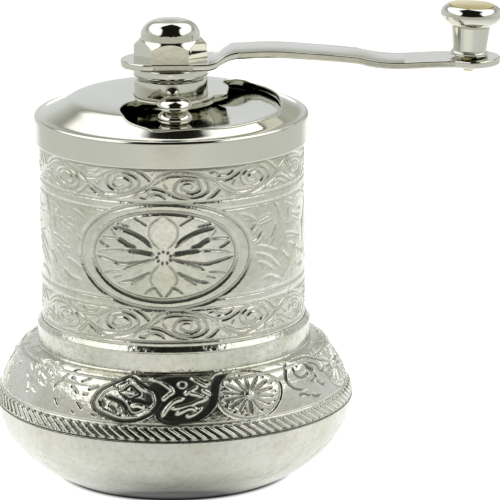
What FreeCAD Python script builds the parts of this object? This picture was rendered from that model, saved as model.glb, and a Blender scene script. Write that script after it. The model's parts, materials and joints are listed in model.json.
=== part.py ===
import FreeCAD, Part
import math
import os
import Sketcher

V = FreeCAD.Vector

# Hand-cranked spice mill, standing on a table.  Millimetres, +Z up, origin on the
# mill's axis at table level.  The crank points along +X at rest.

# A size in quotes is worked out from the ones above it.
DIMENSIONS = [
    # gaps: between pieces lifted apart, fixed together, turning, and never touching
    ("slip_gap", 0.1), ("seat_gap", 0.05), ("run_gap", 0.05), ("part_gap", 0.3), ("seam_gap", 0.3),
    # hopper barrel, which the cap, the collar and the parts inside take their sizes from
    ("barrel_radius", 27.1), ("barrel_wall", 1.1), ("barrel_height", 44.6),
    # burr housing, the upper half of the belly with its collar
    ("seam_height", 16.0), ("housing_radius", 36.8), ("housing_wall", 2.1), ("shoulder_rise", 12.7),
    ("shoulder_height", "=seam_height + shoulder_rise"), ("shoulder_edge", 0.3),
    ("collar_wall", 0.9), ("collar_radius", "=barrel_radius + collar_wall"), ("collar_lip", 0.35),
    ("collar_taper", 0.1), ("collar_height", 4.75), ("collar_top", "=shoulder_height + collar_height"),
    ("ledge_rise", 0.9), ("ledge_height", "=shoulder_height + ledge_rise"), ("ledge_width", 1.7),
    ("ledge_thickness", 2.2), ("rim_width", 2.8), ("rim_step", 0.4),
    ("barrel_top", "=ledge_height + barrel_height"),
    # catch bowl, the lower half of the round belly
    ("belly_step", 0.4), ("bowl_radius", "=housing_radius - belly_step"), ("bowl_below_foot", 4.55),
    ("bowl_drop", "=seam_height + bowl_below_foot"), ("bowl_wall", 1.5),
    ("foot_recess_radius", 18.0), ("foot_recess_depth", 0.5),
    ("spigot_radius", "=housing_radius - rim_width"), ("spigot_wall", 1.1), ("spigot_rise", 3.6),
    # burrs
    ("burr_large_radius", 9.0), ("burr_small_radius", 5.6), ("burr_height", 8.3), ("burr_foot", 0.8),
    ("burr_gap", 0.6), ("outer_burr_wall", 2.4),
    ("outer_burr_radius", "=burr_large_radius + burr_gap + outer_burr_wall"),
    ("outer_burr_height", 8.4), ("outer_burr_edge", 1.0),
    ("flute_depth", 0.8), ("flute_width", 1.6), ("flute_count", 12), ("flute_end", 2.0),
    ("flute_root", 0.5), ("flute_overrun", 1.0), ("ring_thickness", 0.7), ("ring_width", 1.1),
    # burr carrier, a funnel with a cup
    ("carrier_radius", "=barrel_radius - barrel_wall - slip_gap"), ("carrier_flange_thickness", 1.6),
    ("carrier_flange_width", 5.4), ("cup_wall", 1.5), ("cup_drop", 14.0),
    ("cup_bottom", "=ledge_height - cup_drop"), ("cup_top_drop", 3.4),
    ("cup_top", "=ledge_height - cup_top_drop"), ("cup_lip", 1.2),
    ("cup_flange_reach", 5.0), ("cup_flange_radius", "=outer_burr_radius + cup_flange_reach"),
    ("cup_flange_thickness", 1.6),
    # top cap
    ("cap_wall", 1.0), ("cap_radius", "=barrel_radius + cap_wall"), ("cap_skirt", 3.95),
    ("cap_skirt_bottom", "=barrel_top - cap_skirt"), ("cap_rim_rise", 1.2),
    ("cap_rim_height", "=barrel_top + cap_rim_rise"), ("cap_edge", 0.35), ("cap_dome_rise", 4.3),
    ("cap_dome_height", "=cap_rim_height + cap_dome_rise"), ("cap_thickness", 1.7),
    ("cap_flat_radius", 7.7), ("cap_flat_drop", 0.3),
    # filler shutter under the cap
    ("shutter_inset", 1.4), ("shutter_radius", "=barrel_radius - barrel_wall - shutter_inset"),
    ("shutter_thickness", 0.7), ("shutter_hub_radius", 8.5), ("slot_cover", 2.0),
    ("slot_outer_radius", "=shutter_radius - slot_cover"), ("window_inset", 0.4),
    ("window_outer_radius", "=slot_outer_radius - window_inset"), ("window_inner_radius", 12.6),
    ("window_start_angle", 42.0), ("window_end_angle", 78.0),
    # the cap's cut-out: a slot for the finial that widens into a port
    ("slot_inner_radius", 9.0), ("slot_start_angle", -140.0), ("slot_outer_start_angle", -110.0),
    ("slot_neck_angle", -12.0), ("slot_neck_bulge", 0.25), ("slot_port_angle", 33.0),
    ("slot_end_reach", 16.2), ("slot_end_angle", -129.0), ("port_step_angle", 2.0),
    ("port_inner_radius", 12.0), ("port_step_inset", 0.6), ("port_step_bulge", 0.9),
    ("port_back_radius", 14.6), ("port_back_angle", 40.0), ("port_back_bulge", 1.0),
    ("port_back_turn", 8.0),
    # bush on the cap, with the nut and washer below the shutter
    ("bush_radius", 7.5), ("bush_rise", 3.5), ("bush_top", "=cap_dome_height + bush_rise"),
    ("bush_neck_radius", 4.95), ("bush_neck_drop", 7.1),
    ("bush_neck_bottom", "=cap_dome_height - bush_neck_drop"), ("bush_edge", 0.25),
    ("bush_nut_flats", 15.0), ("bush_nut_height", 2.4), ("shutter_washer_radius", 8.0),
    ("shutter_washer_thickness", 0.5),
    # finial of the shutter
    ("finial_place_radius", 12.8), ("finial_angle", -86.0), ("finial_foot_radius", 1.5),
    ("finial_foot_height", 0.15), ("finial_base_radius", 3.4), ("finial_base_height", 1.6),
    ("finial_waist_radius", 2.3), ("finial_bead_radius", 3.6), ("finial_bead_height", 2.4),
    ("finial_waist_height", 0.35), ("finial_top_drop", 0.2), ("finial_stud_radius", 1.2),
    ("finial_nut_flats", 4.0), ("finial_nut_height", 1.1), ("finial_nut_offset", 0.15),
    # crank
    ("hub_radius", 7.8), ("hub_gap", 0.5), ("hub_bottom", "=bush_top + hub_gap"), ("hub_edge", 0.2),
    ("hub_height", 1.75), ("arm_seat", "=hub_bottom + hub_height"), ("arm_thickness", 1.45),
    ("arm_rise", 2.15), ("arm_dip", 0.25), ("arm_eye_half_width", 6.8), ("arm_tail", 10.3),
    ("arm_half_width", 5.15), ("arm_neck_reach", 6.0), ("arm_crest_start", 13.6),
    ("arm_crest_end", 29.0), ("arm_dip_place", 47.5), ("crank_radius", 60.75),
    ("arm_tip_radius", 6.4), ("arm_tip_reach", 3.0), ("eye_shoulder_reach", 5.0),
    ("eye_shoulder_drop", 0.75),
    # place of the inner burr and its pin
    ("burr_rise", 1.4), ("burr_bottom", "=cup_bottom + burr_rise"), ("burr_pin_radius", 0.9),
    ("burr_pin_rise", 4.0), ("burr_pin_height", "=burr_bottom + burr_pin_rise"),
    ("burr_pin_reach", 6.2),
    # spindle
    ("spindle_radius", 4.0), ("spindle_foot", 3.75), ("spindle_bottom", "=burr_bottom - spindle_foot"),
    ("spindle_thread", 7.55), ("spindle_top", "=arm_seat + spindle_thread"), ("spindle_tip", 1.0),
    ("spindle_flats", 6.4),
    # dome nut
    ("nut_flats", 13.0), ("nut_hex_height", 3.1), ("nut_chamfer_height", 1.2), ("nut_chamfer", 0.35),
    ("nut_dome_radius", 6.1), ("nut_edge", 0.15), ("nut_lip_height", 1.2), ("nut_dome_height", 2.75),
    ("nut_thread_room", 0.4),
    # turning knob of the crank
    ("knob_foot_radius", 3.9), ("knob_foot_height", 0.9), ("knob_foot_edge", 0.5),
    ("knob_waist_radius", 3.5), ("knob_neck_radius", 4.0), ("knob_neck_height", 6.1),
    ("knob_neck_groove", 0.15), ("knob_head_radius", 6.35), ("knob_head_height", 8.4),
    ("knob_rim_radius", 4.85), ("knob_top_height", 10.3), ("rivet_head_radius", 4.55),
    ("rivet_head_thickness", 0.3), ("rivet_crown", 0.35), ("rivet_radius", 1.5),
    ("rivet_tail_radius", 1.0), ("rivet_tail_height", 1.5), ("rivet_step", 0.1),
    ("rivet_washer_radius", 1.95), ("rivet_washer_thickness", 0.9), ("rivet_washer_edge", 0.3),
    ("knob_gap", 0.15), ("knob_foot_gap", 0.3), ("knob_lean", 3.0), ("rivet_washer_gap", 0.15),
    # spring and its washer
    ("spring_washer_radius", 6.6), ("spring_washer_thickness", 0.5), ("spring_radius", 5.2),
    ("spring_wire", 0.9), ("spring_turns", 3.5), ("spring_seat_gap", 0.05),
    # bearing bridge over the burr
    ("bridge_inset", 0.4), ("bridge_length", "=carrier_radius - bridge_inset"), ("bridge_width", 9.0),
    ("bridge_thickness", 2.0), ("bridge_screw_inset", 3.0),
    ("bridge_screw_place", "=carrier_radius - bridge_screw_inset"), ("screw_radius", 1.25),
    ("screw_head_radius", 2.3), ("screw_head_height", 1.4), ("screw_slot_width", 0.6),
    ("screw_slot_depth", 0.6),
    # yoke below the burr, with its thrust pad and adjusting screw
    ("yoke_width", 7.0), ("yoke_thickness", 1.5), ("yoke_drop", 4.15),
    ("yoke_screw_inset", 1.75), ("yoke_screw_place", "=cup_flange_radius - yoke_screw_inset"),
    ("yoke_foot_reach", 4.45), ("yoke_inner", "=yoke_screw_place - yoke_foot_reach"),
    ("pad_radius", 3.2), ("pad_thickness", 1.1), ("pad_gap", 0.05), ("pad_edge", 0.3),
    ("pad_low", "=spindle_bottom - pad_gap - pad_thickness"),
    ("adjuster_radius", 2.5), ("adjuster_length", 6.45), ("adjuster_edge", 0.4),
    ("adjuster_top", "=pad_low - pad_gap"), ("adjuster_bottom", "=adjuster_top - adjuster_length"),
    ("wheel_radius", 5.0), ("wheel_height", 2.2), ("wheel_floor", 0.6), ("wheel_edge", 0.3),
    ("wheel_bottom", "=adjuster_bottom - wheel_floor"), ("wheel_notch", 0.35),
    ("wheel_notch_count", 20),
]

doc = FreeCAD.newDocument("spice_mill")
sheet = doc.addObject("Spreadsheet::Sheet", "Sizes")
for row, (alias, number) in enumerate(DIMENSIONS, start=1):
    sheet.set("A%d" % row, alias)
    sheet.set("B%d" % row, str(number))
    sheet.setAlias("B%d" % row, alias)
    doc.recompute()


class Size:
    """A length that knows its number and the sheet expression that it comes from."""

    def __init__(self, number, words=None):
        self.number = float(number)
        self.words = words if words is not None else repr(float(number))

    def join(self, other, sign, work):
        other = other if isinstance(other, Size) else Size(other)
        return Size(work(self.number, other.number), "(%s %s %s)" % (self.words, sign, other.words))

    def __add__(self, other):
        return self.join(other, "+", lambda a, b: a + b)

    def __sub__(self, other):
        return self.join(other, "-", lambda a, b: a - b)

    def __mul__(self, other):
        return self.join(other, "*", lambda a, b: a * b)

    def __truediv__(self, other):
        return self.join(other, "/", lambda a, b: a / b)

    def __rmul__(self, other):
        return Size(other) * self

    def __neg__(self):
        return Size(0) - self

    def root(self):
        return Size(math.sqrt(self.number), "sqrt(%s)" % self.words)

    def cosine(self):
        return Size(math.cos(math.radians(self.number)), "cos(%s * 1 deg)" % self.words)

    def sine(self):
        return Size(math.sin(math.radians(self.number)), "sin(%s * 1 deg)" % self.words)


class Sheet:
    """Gives each named cell as a Size."""

    def __getattr__(self, alias):
        return Size(sheet.get(alias), "Sizes.%s" % alias)


S = Sheet()
ZERO = Size(0, "0")


def polar(radius, angle):
    return radius * angle.cosine(), radius * angle.sine()


def bind(feature, prop, size):
    feature.setExpression(prop, size.words)


def new_body(label):
    body = doc.addObject("PartDesign::Body", label)
    body.Label = label
    return body


def origin_item(body, role):
    return [item for item in body.Origin.OriginFeatures if item.Role == role][0]


def arc_through(start, middle, end):
    """Counter-clockwise arc through three points, and whether it runs start to end."""
    circle = Part.Circle(start, middle, end)
    centre = circle.Center
    turns = [math.atan2(p.y - centre.y, p.x - centre.x) for p in (start, middle, end)]
    forward = (turns[1] - turns[0]) % (2 * math.pi) < (turns[2] - turns[0]) % (2 * math.pi)
    first, last = (turns[0], turns[2]) if forward else (turns[2], turns[0])
    if last <= first:
        last += 2 * math.pi
    return Part.ArcOfCircle(Part.Circle(centre, V(0, 0, 1), circle.Radius), first, last), forward


def add_loop(sketch, path):
    """Closed outline: each step is a point, or an arc's middle and end point."""
    corners = [step[-2:] for step in path]
    ends = []
    for index, step in enumerate(path):
        x0, y0 = corners[index - 1]
        x1, y1 = corners[index]
        start, end = V(x0.number, y0.number, 0), V(x1.number, y1.number, 0)
        if len(step) == 2:
            ends.append((sketch.addGeometry(Part.LineSegment(start, end)), 1, 2))
        else:
            middle = V(step[0].number, step[1].number, 0)
            curve, forward = arc_through(start, middle, end)
            number = sketch.addGeometry(curve)
            ends.append((number, 1, 2) if forward else (number, 2, 1))
    for index, (number, first, last) in enumerate(ends):
        following, next_first, _ = ends[(index + 1) % len(ends)]
        sketch.addConstraint(Sketcher.Constraint("Coincident", number, last, following, next_first))
    for index, (number, first, last) in enumerate(ends):
        for kind, size in zip(("DistanceX", "DistanceY"), corners[index]):
            held = sketch.addConstraint(
                Sketcher.Constraint(kind, -1, 1, number, last, size.number))
            if size is not ZERO:
                sketch.setExpression("Constraints[%d]" % held, size.words)


def add_circle(sketch, x, y, radius):
    number = sketch.addGeometry(Part.Circle(V(x.number, y.number, 0), V(0, 0, 1), radius.number))
    for kind, size in (("DistanceX", x), ("DistanceY", y)):
        held = sketch.addConstraint(Sketcher.Constraint(kind, -1, 1, number, 3, size.number))
        if size is not ZERO:
            sketch.setExpression("Constraints[%d]" % held, size.words)
    held = sketch.addConstraint(Sketcher.Constraint("Radius", number, radius.number))
    sketch.setExpression("Constraints[%d]" % held, radius.words)


def new_sketch(body, name, role, height=ZERO):
    sketch = body.newObject("Sketcher::SketchObject", name)
    sketch.AttachmentSupport = [(origin_item(body, role), "")]
    sketch.MapMode = "FlatFace"
    if height is not ZERO:
        sketch.AttachmentOffset = FreeCAD.Placement(V(0, 0, height.number), FreeCAD.Rotation())
        sketch.setExpression("AttachmentOffset.Base.z", height.words)
    return sketch


def revolve(body, path, name="profile"):
    """Turn a closed half profile, given as radius and height, about the Z axis."""
    sketch = new_sketch(body, body.Label + "_" + name, "XZ_Plane")
    add_loop(sketch, path)
    turned = body.newObject("PartDesign::Revolution", body.Label + "_turned_" + name)
    turned.Profile = sketch
    turned.ReferenceAxis = (sketch, ["V_Axis"])
    turned.Angle = 360.0
    return turned


def pad(body, draw, bottom, height, name="pad"):
    """Pad an outline drawn in plan, from the given height upwards."""
    sketch = new_sketch(body, body.Label + "_" + name + "_outline", "XY_Plane", bottom)
    draw(sketch)
    raised = body.newObject("PartDesign::Pad", body.Label + "_" + name)
    raised.Profile = sketch
    bind(raised, "Length", height)
    return raised


def pocket(body, draw, top, depth, name="pocket"):
    """Cut an outline drawn in plan, from the given height downwards."""
    before = body.Shape.Volume if not body.Shape.isNull() else 0
    sketch = new_sketch(body, body.Label + "_" + name + "_outline", "XY_Plane", top)
    draw(sketch)
    cut = body.newObject("PartDesign::Pocket", body.Label + "_" + name)
    cut.Profile = sketch
    bind(cut, "Length", depth)
    doc.recompute()
    if before and body.Shape.Volume >= before:
        raise RuntimeError("%s removed nothing" % cut.Label)
    return cut


def polar_pattern(body, feature, count):
    pattern = body.newObject("PartDesign::PolarPattern", feature.Label + "_pattern")
    pattern.Originals = [feature]
    pattern.Axis = (origin_item(body, "Z_Axis"), [""])
    pattern.Angle = 360.0
    bind(pattern, "Occurrences", count)
    body.Tip = pattern
    return pattern


def hexagon(flats):
    """Plan outline of a hexagon with two corners on the X axis."""
    across = flats / math.sqrt(3.0)
    return [polar(across, Size(60.0 * corner)) for corner in range(6)]


def rectangle(left, bottom, right, top):
    return [(left, bottom), (right, bottom), (right, top), (left, top)]


def dome_height(radius, drop=ZERO):
    """Height of the cap's domed outer face at a radius, or of a face that lies below it."""
    rise = S.cap_dome_height - S.cap_rim_height
    share = radius / S.cap_radius
    return S.cap_dome_height - rise * share * share - drop


def dome_path(inner, outer, drop):
    """Arc along the dome from one radius to another: its middle and end point."""
    middle = (inner + outer) / 2
    return middle, dome_height(middle, drop), outer, dome_height(outer, drop)


def crown(radius, low, rise):
    """Shallow round top that ends square to the axis: its middle and end point."""
    sphere = (radius * radius + rise * rise) / (2 * rise)
    middle = radius / 2
    middle_height = low + rise - sphere + (sphere * sphere - middle * middle).root()
    return middle, middle_height, ZERO, low + rise


def bowl_radius_at(height, inset=ZERO):
    """Radius of the bowl's elliptical side at a height, or of its inner face."""
    share = (S.seam_height - height) / (S.bowl_drop - inset)
    return (S.bowl_radius - inset) * (Size(1) - share * share).root()


def bowl_side(low, high, inset, upwards):
    """Arcs that follow the bowl's side between two heights."""
    steps = []
    shares = (0, 1 / 3, 2 / 3, 1) if upwards else (1, 2 / 3, 1 / 3, 0)
    for first, last in zip(shares, shares[1:]):
        middle_height = low + (high - low) * ((first + last) / 2)
        end_height = low + (high - low) * last
        steps.append((bowl_radius_at(middle_height, inset), middle_height,
                      bowl_radius_at(end_height, inset), end_height))
    return steps


def make_catch_bowl():
    body = new_body("catch_bowl")
    rim = S.seam_height - S.seam_gap / 2
    floor = S.foot_recess_depth + S.bowl_wall
    inner_top = rim - 3 * S.spigot_wall
    spigot_inner = S.spigot_radius - S.spigot_wall
    path = [(ZERO, S.foot_recess_depth), (S.foot_recess_radius, S.foot_recess_depth),
            (S.foot_recess_radius, ZERO), (bowl_radius_at(ZERO), ZERO)]
    path += bowl_side(ZERO, rim, ZERO, True)
    path += [(S.spigot_radius, rim), (S.spigot_radius, S.seam_height + S.spigot_rise),
             (spigot_inner, S.seam_height + S.spigot_rise),
             (spigot_inner, inner_top + S.spigot_wall),
             (bowl_radius_at(inner_top, S.bowl_wall), inner_top)]
    path += bowl_side(floor, inner_top, S.bowl_wall, False)
    path += [(ZERO, floor)]
    revolve(body, path)
    return body


def make_burr_housing():
    body = new_body("burr_housing")
    bottom = S.seam_height + S.seam_gap / 2
    rise = S.shoulder_height - bottom
    bore = S.spigot_radius + S.slip_gap
    bore_top = S.seam_height + S.spigot_rise + S.part_gap
    barrel_bore = S.barrel_radius + S.seat_gap
    ledge_radius = S.carrier_radius - S.ledge_width
    lip_bottom = S.collar_top - 3 * S.collar_lip
    inner_low = bore - S.rim_step
    inner_high = S.collar_radius + S.rim_step

    def outside(share, height):
        """Point of the shoulder, by its share of the way out from the collar."""
        return S.collar_radius + (S.housing_radius - S.collar_radius) * share, bottom + rise * height

    path = [(bore, bottom), (S.housing_radius, bottom),
            outside(0.8352, 0.375) + outside(0.5341, 0.745),
            outside(0.3409, 0.905) + (S.collar_radius + S.shoulder_edge, S.shoulder_height),
            (S.collar_radius, S.shoulder_height + S.shoulder_edge),
            (S.collar_radius - S.collar_taper, lip_bottom),
            (S.collar_radius + S.collar_lip, lip_bottom + S.collar_lip,
             S.collar_radius, S.collar_top - S.collar_lip),
            (S.collar_radius - S.collar_lip, S.collar_top), (barrel_bore, S.collar_top),
            (barrel_bore, S.ledge_height), (ledge_radius, S.ledge_height),
            (ledge_radius, S.ledge_height - S.ledge_thickness),
            (inner_high, S.shoulder_height - S.housing_wall),
            (inner_high + (inner_low - inner_high) * 0.6038, bottom + rise * 0.62,
             inner_low, bore_top),
            (bore, bore_top)]
    revolve(body, path)
    return body


def make_hopper_barrel():
    body = new_body("hopper_barrel")
    revolve(body, rectangle(S.barrel_radius - S.barrel_wall, S.ledge_height,
                            S.barrel_radius, S.barrel_top))
    return body


def slot_outline():
    """Filler cut-out of the cap: a slot for the finial that widens into a port."""
    inner, outer = S.slot_inner_radius, S.slot_outer_radius
    start = polar(inner, S.slot_start_angle)
    outer_start = polar(outer, S.slot_outer_start_angle)
    end_middle = polar(S.slot_end_reach, S.slot_end_angle)
    outer_middle = polar(outer, (S.slot_outer_start_angle + S.slot_port_angle) / 2)
    outer_end = polar(outer, S.slot_port_angle)
    back_middle = polar((outer + S.port_back_radius) / 2 + S.port_back_bulge,
                        S.slot_port_angle + S.port_back_turn)
    back_end = polar(S.port_back_radius, S.port_back_angle)
    step_radius = S.port_inner_radius - S.port_step_inset
    step_middle = polar(S.port_inner_radius + S.port_step_bulge,
                        S.port_back_angle / 2 + S.port_step_angle)
    step_end = polar(step_radius, S.port_step_angle)
    neck = polar(inner, S.slot_neck_angle)
    neck_middle = polar((inner + step_radius) / 2 + S.slot_neck_bulge,
                        (S.slot_neck_angle + S.port_step_angle) / 2)
    inner_middle = polar(inner, (S.slot_start_angle + S.slot_neck_angle) / 2)
    return [start, end_middle + outer_start, outer_middle + outer_end, back_middle + back_end,
            step_middle + step_end, neck_middle + neck, inner_middle + start][1:]


def make_top_cap():
    body = new_body("top_cap")
    flat = S.cap_dome_height - S.cap_flat_drop
    under = S.shutter_hub_radius
    skirt_inner = S.barrel_radius + S.seat_gap
    inner_edge = S.barrel_radius - S.barrel_wall - S.seat_gap
    rim_radius = S.cap_radius - S.cap_edge
    hole = S.bush_neck_radius + S.seat_gap
    rim = dome_path(S.cap_flat_radius, rim_radius, ZERO)
    under_dome = dome_path(inner_edge, under, S.cap_thickness)
    path = [(S.cap_flat_radius, flat), rim[:2] + (rim_radius, S.cap_rim_height),
            (S.cap_radius, S.cap_rim_height - S.cap_edge),
            (S.cap_radius, S.cap_skirt_bottom), (skirt_inner, S.cap_skirt_bottom),
            (skirt_inner, S.barrel_top),
            (inner_edge, S.barrel_top),
            (inner_edge, dome_height(inner_edge, S.cap_thickness)), under_dome,
            (hole, dome_height(under, S.cap_thickness)), (hole, flat)]
    revolve(body, path)
    doc.recompute()
    pocket(body, lambda sketch: add_loop(sketch, slot_outline()), S.cap_dome_height,
           S.cap_dome_height - S.cap_skirt_bottom, "filler_slot")
    return body


def make_spindle_bush():
    body = new_body("spindle_bush")
    flat = S.cap_dome_height - S.cap_flat_drop
    bore = S.spindle_radius + S.run_gap
    revolve(body, [(bore, S.bush_neck_bottom), (S.bush_neck_radius, S.bush_neck_bottom),
                   (S.bush_neck_radius, flat), (S.bush_radius, flat),
                   (S.bush_radius, S.bush_top - S.bush_edge),
                   (S.bush_radius - S.bush_edge, S.bush_top), (bore, S.bush_top)])
    return body


def shutter_under():
    return dome_height(S.shutter_hub_radius, S.cap_thickness + S.part_gap + S.shutter_thickness)


def make_shutter_washer():
    body = new_body("shutter_washer")
    top = shutter_under() - S.part_gap
    revolve(body, rectangle(S.bush_neck_radius + S.seat_gap, top - S.shutter_washer_thickness,
                            S.shutter_washer_radius, top))
    return body


def make_bush_nut():
    body = new_body("bush_nut")
    top = shutter_under() - S.part_gap - S.shutter_washer_thickness
    bottom = top - S.bush_nut_height
    pad(body, lambda sketch: add_loop(sketch, hexagon(S.bush_nut_flats)), bottom,
        S.bush_nut_height, "hexagon")
    doc.recompute()
    pocket(body, lambda sketch: add_circle(sketch, ZERO, ZERO, S.bush_neck_radius + S.seat_gap),
           top, S.bush_nut_height, "thread")
    return body


def window_outline():
    inner, outer = S.window_inner_radius, S.window_outer_radius
    start, end = S.window_start_angle, S.window_end_angle
    middle = (start + end) / 2
    return [polar(inner, start), polar(outer, start), polar(outer, middle) + polar(outer, end),
            polar(inner, end), polar(inner, middle) + polar(inner, start)][1:]


def finial_place():
    return polar(S.finial_place_radius, S.finial_angle)


def make_filler_shutter():
    body = new_body("filler_shutter")
    top = S.cap_thickness + S.part_gap
    under = top + S.shutter_thickness
    hub, outer = S.shutter_hub_radius, S.shutter_radius
    hole = S.bush_neck_radius + S.part_gap
    rise = dome_path(hub, outer, top)
    fall = dome_path(outer, hub, under)
    revolve(body, [(hole, dome_height(hub, under)), (hole, dome_height(hub, top)),
                   (hub, dome_height(hub, top)), rise, (outer, dome_height(outer, under)), fall])
    doc.recompute()
    pocket(body, lambda sketch: add_loop(sketch, window_outline()), S.cap_dome_height,
           S.cap_dome_height - S.cap_skirt_bottom, "window")
    x, y = finial_place()
    pocket(body, lambda sketch: add_circle(sketch, x, y, S.finial_stud_radius + 2 * S.seat_gap),
           S.cap_dome_height, S.cap_dome_height - S.cap_skirt_bottom, "stud_hole")
    return body


def stand_on_shutter(body):
    """Place a piece made at the origin square to the shutter's dome, at the finial's place."""
    x, y = finial_place()
    radius = S.finial_place_radius
    slope = math.degrees(math.atan((2 * (S.cap_dome_height - S.cap_rim_height) * radius
                                    / (S.cap_radius * S.cap_radius)).number))
    height = dome_height(radius, S.cap_thickness + S.part_gap)
    tangent = V(-math.sin(math.radians(S.finial_angle.number)),
                math.cos(math.radians(S.finial_angle.number)), 0)
    body.Placement = FreeCAD.Placement(V(x.number, y.number, height.number),
                                       FreeCAD.Rotation(tangent, slope))


def make_shutter_finial():
    body = new_body("shutter_finial")
    foot = S.finial_foot_height
    waist = foot + S.finial_base_height
    bead_low = waist + S.finial_waist_height
    bead_middle = bead_low + S.finial_bead_height / 2
    bead_top = bead_low + S.finial_bead_height
    stud_end = -(S.shutter_thickness + S.finial_nut_offset + S.finial_nut_height)
    revolve(body, [(ZERO, stud_end), (S.finial_stud_radius, stud_end), (S.finial_stud_radius, ZERO),
                   (S.finial_foot_radius, ZERO), (S.finial_foot_radius, foot),
                   (S.finial_base_radius, foot),
                   (S.finial_base_radius, foot + S.finial_base_height * 0.55,
                    S.finial_waist_radius, waist),
                   (S.finial_waist_radius, bead_low),
                   (S.finial_bead_radius * 0.93, bead_low + S.finial_bead_height * 0.2,
                    S.finial_bead_radius, bead_middle),
                   (S.finial_bead_radius * 0.93, bead_top - S.finial_bead_height * 0.2,
                    S.finial_waist_radius, bead_top - S.finial_top_drop),
                   (ZERO, bead_top)])
    stand_on_shutter(body)
    return body


def make_finial_nut():
    body = new_body("finial_nut")
    top = -(S.shutter_thickness + S.finial_nut_offset)
    bottom = top - S.finial_nut_height
    pad(body, lambda sketch: add_loop(sketch, hexagon(S.finial_nut_flats)), bottom,
        S.finial_nut_height, "hexagon")
    doc.recompute()
    pocket(body, lambda sketch: add_circle(sketch, ZERO, ZERO, S.finial_stud_radius), top,
           S.finial_nut_height, "thread")
    stand_on_shutter(body)
    return body


def flats_cut(half_width, reach):
    """Two rectangles that trim a round bar to flats in front and behind."""
    def draw(sketch):
        add_loop(sketch, rectangle(-reach, half_width, reach, reach))
        add_loop(sketch, rectangle(-reach, -reach, reach, -half_width))
    return draw


def flats_hole(sketch, gap):
    """Hole for the flatted bar: two arcs joined by two flats."""
    radius = S.spindle_radius + gap
    half = S.spindle_flats / 2 + gap
    side = (radius * radius - half * half).root()
    add_loop(sketch, [(-side, half), (-radius, ZERO, -side, -half), (side, -half),
                      (radius, ZERO, side, half)])


def make_spindle():
    body = new_body("spindle")
    revolve(body, [(ZERO, S.spindle_bottom), (S.spindle_radius - S.spindle_tip, S.spindle_bottom),
                   (S.spindle_radius, S.spindle_bottom + S.spindle_tip),
                   (S.spindle_radius, S.spindle_top - S.spindle_tip / 2),
                   (S.spindle_radius - S.spindle_tip / 2, S.spindle_top), (ZERO, S.spindle_top)])
    doc.recompute()
    pocket(body, flats_cut(S.spindle_flats / 2, S.spindle_radius * 1.5), S.spindle_top,
           S.spindle_top - S.hub_bottom, "flats")
    drill_for_pin(body)
    return body


def make_crank_hub():
    body = new_body("crank_hub")
    revolve(body, [(ZERO, S.hub_bottom), (S.hub_radius - S.hub_edge, S.hub_bottom),
                   (S.hub_radius, S.hub_bottom + S.hub_edge), (S.hub_radius, S.arm_seat),
                   (ZERO, S.arm_seat)])
    doc.recompute()
    pocket(body, lambda sketch: flats_hole(sketch, S.seat_gap), S.arm_seat,
           S.arm_seat - S.hub_bottom, "spindle_hole")
    return body


def arm_side():
    """Side view of the crank arm: a flat strip that swells up, dips and meets the knob."""
    low = S.arm_seat
    crest = low + S.arm_rise
    dip = low - S.arm_dip
    tip = S.crank_radius + S.arm_tip_radius
    seat_x = S.hub_radius
    foot_x, foot_z = seat_x + 2.2, low + S.arm_rise * 0.42
    swell_x = (S.arm_crest_start + S.arm_crest_end) / 2
    fall_x = (S.arm_crest_end + S.arm_dip_place) / 2
    fall_z = low + S.arm_rise * 0.42
    pad_x = S.crank_radius - S.arm_tip_radius
    lower = [(-S.arm_tail, low), (seat_x, low),
             (seat_x + 1.25, low + 0.3, foot_x, foot_z),
             (S.arm_crest_start - 1.6, crest - 0.25, S.arm_crest_start + 1.0, crest),
             (swell_x, crest + 0.18, S.arm_crest_end - 2.5, crest - 0.15),
             (S.arm_crest_end + 2.4, crest - 0.55, fall_x, fall_z),
             (S.arm_dip_place - 4.2, dip + 0.14, S.arm_dip_place, dip),
             (pad_x, low)]
    thick = S.arm_thickness
    points = lower + [(tip, low), (tip, low + thick)]
    back = lower[::-1]
    upper = []
    for index, step in enumerate(back):
        x, z = step[-2:]
        if index == 0:
            upper.append((x, z + thick))
            continue
        source = back[index - 1]
        if len(source) == 4:
            upper.append((source[0], source[1] + thick, x, z + thick))
        else:
            upper.append((x, z + thick))
    return points + upper


def arm_plan():
    """Plan view of the crank arm: a wide round-ended eye, a strip and a round tip."""
    eye, half, tip = S.arm_eye_half_width, S.arm_half_width, S.arm_tip_radius
    tail_x = S.arm_tail - eye
    neck_x = S.hub_radius + S.arm_neck_reach
    tip_x = S.crank_radius - S.arm_tip_reach
    eye_x = S.hub_radius * 0.6
    side_x, side_y = eye_x + S.eye_shoulder_reach, eye - S.eye_shoulder_drop
    return [(eye_x, -eye), (side_x, -side_y, neck_x, -half),
            (tip_x, -half), (S.crank_radius, -tip),
            (S.crank_radius + tip, ZERO, S.crank_radius, tip),
            (tip_x, half), (neck_x, half),
            (side_x, side_y, eye_x, eye),
            (-tail_x, eye), (-S.arm_tail, ZERO, -tail_x, -eye)]


def stand_on_knob_axis(body, lift):
    """Place a piece made upright at the origin on the knob's axis, which leans outwards."""
    rotation = FreeCAD.Rotation(V(0, 1, 0), S.knob_lean.number)
    base = V(S.crank_radius.number, 0, (S.arm_seat + S.arm_thickness).number)
    up = rotation.multVec(V(0, 0, lift.number))
    body.Placement = FreeCAD.Placement(base + up, rotation)


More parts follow.
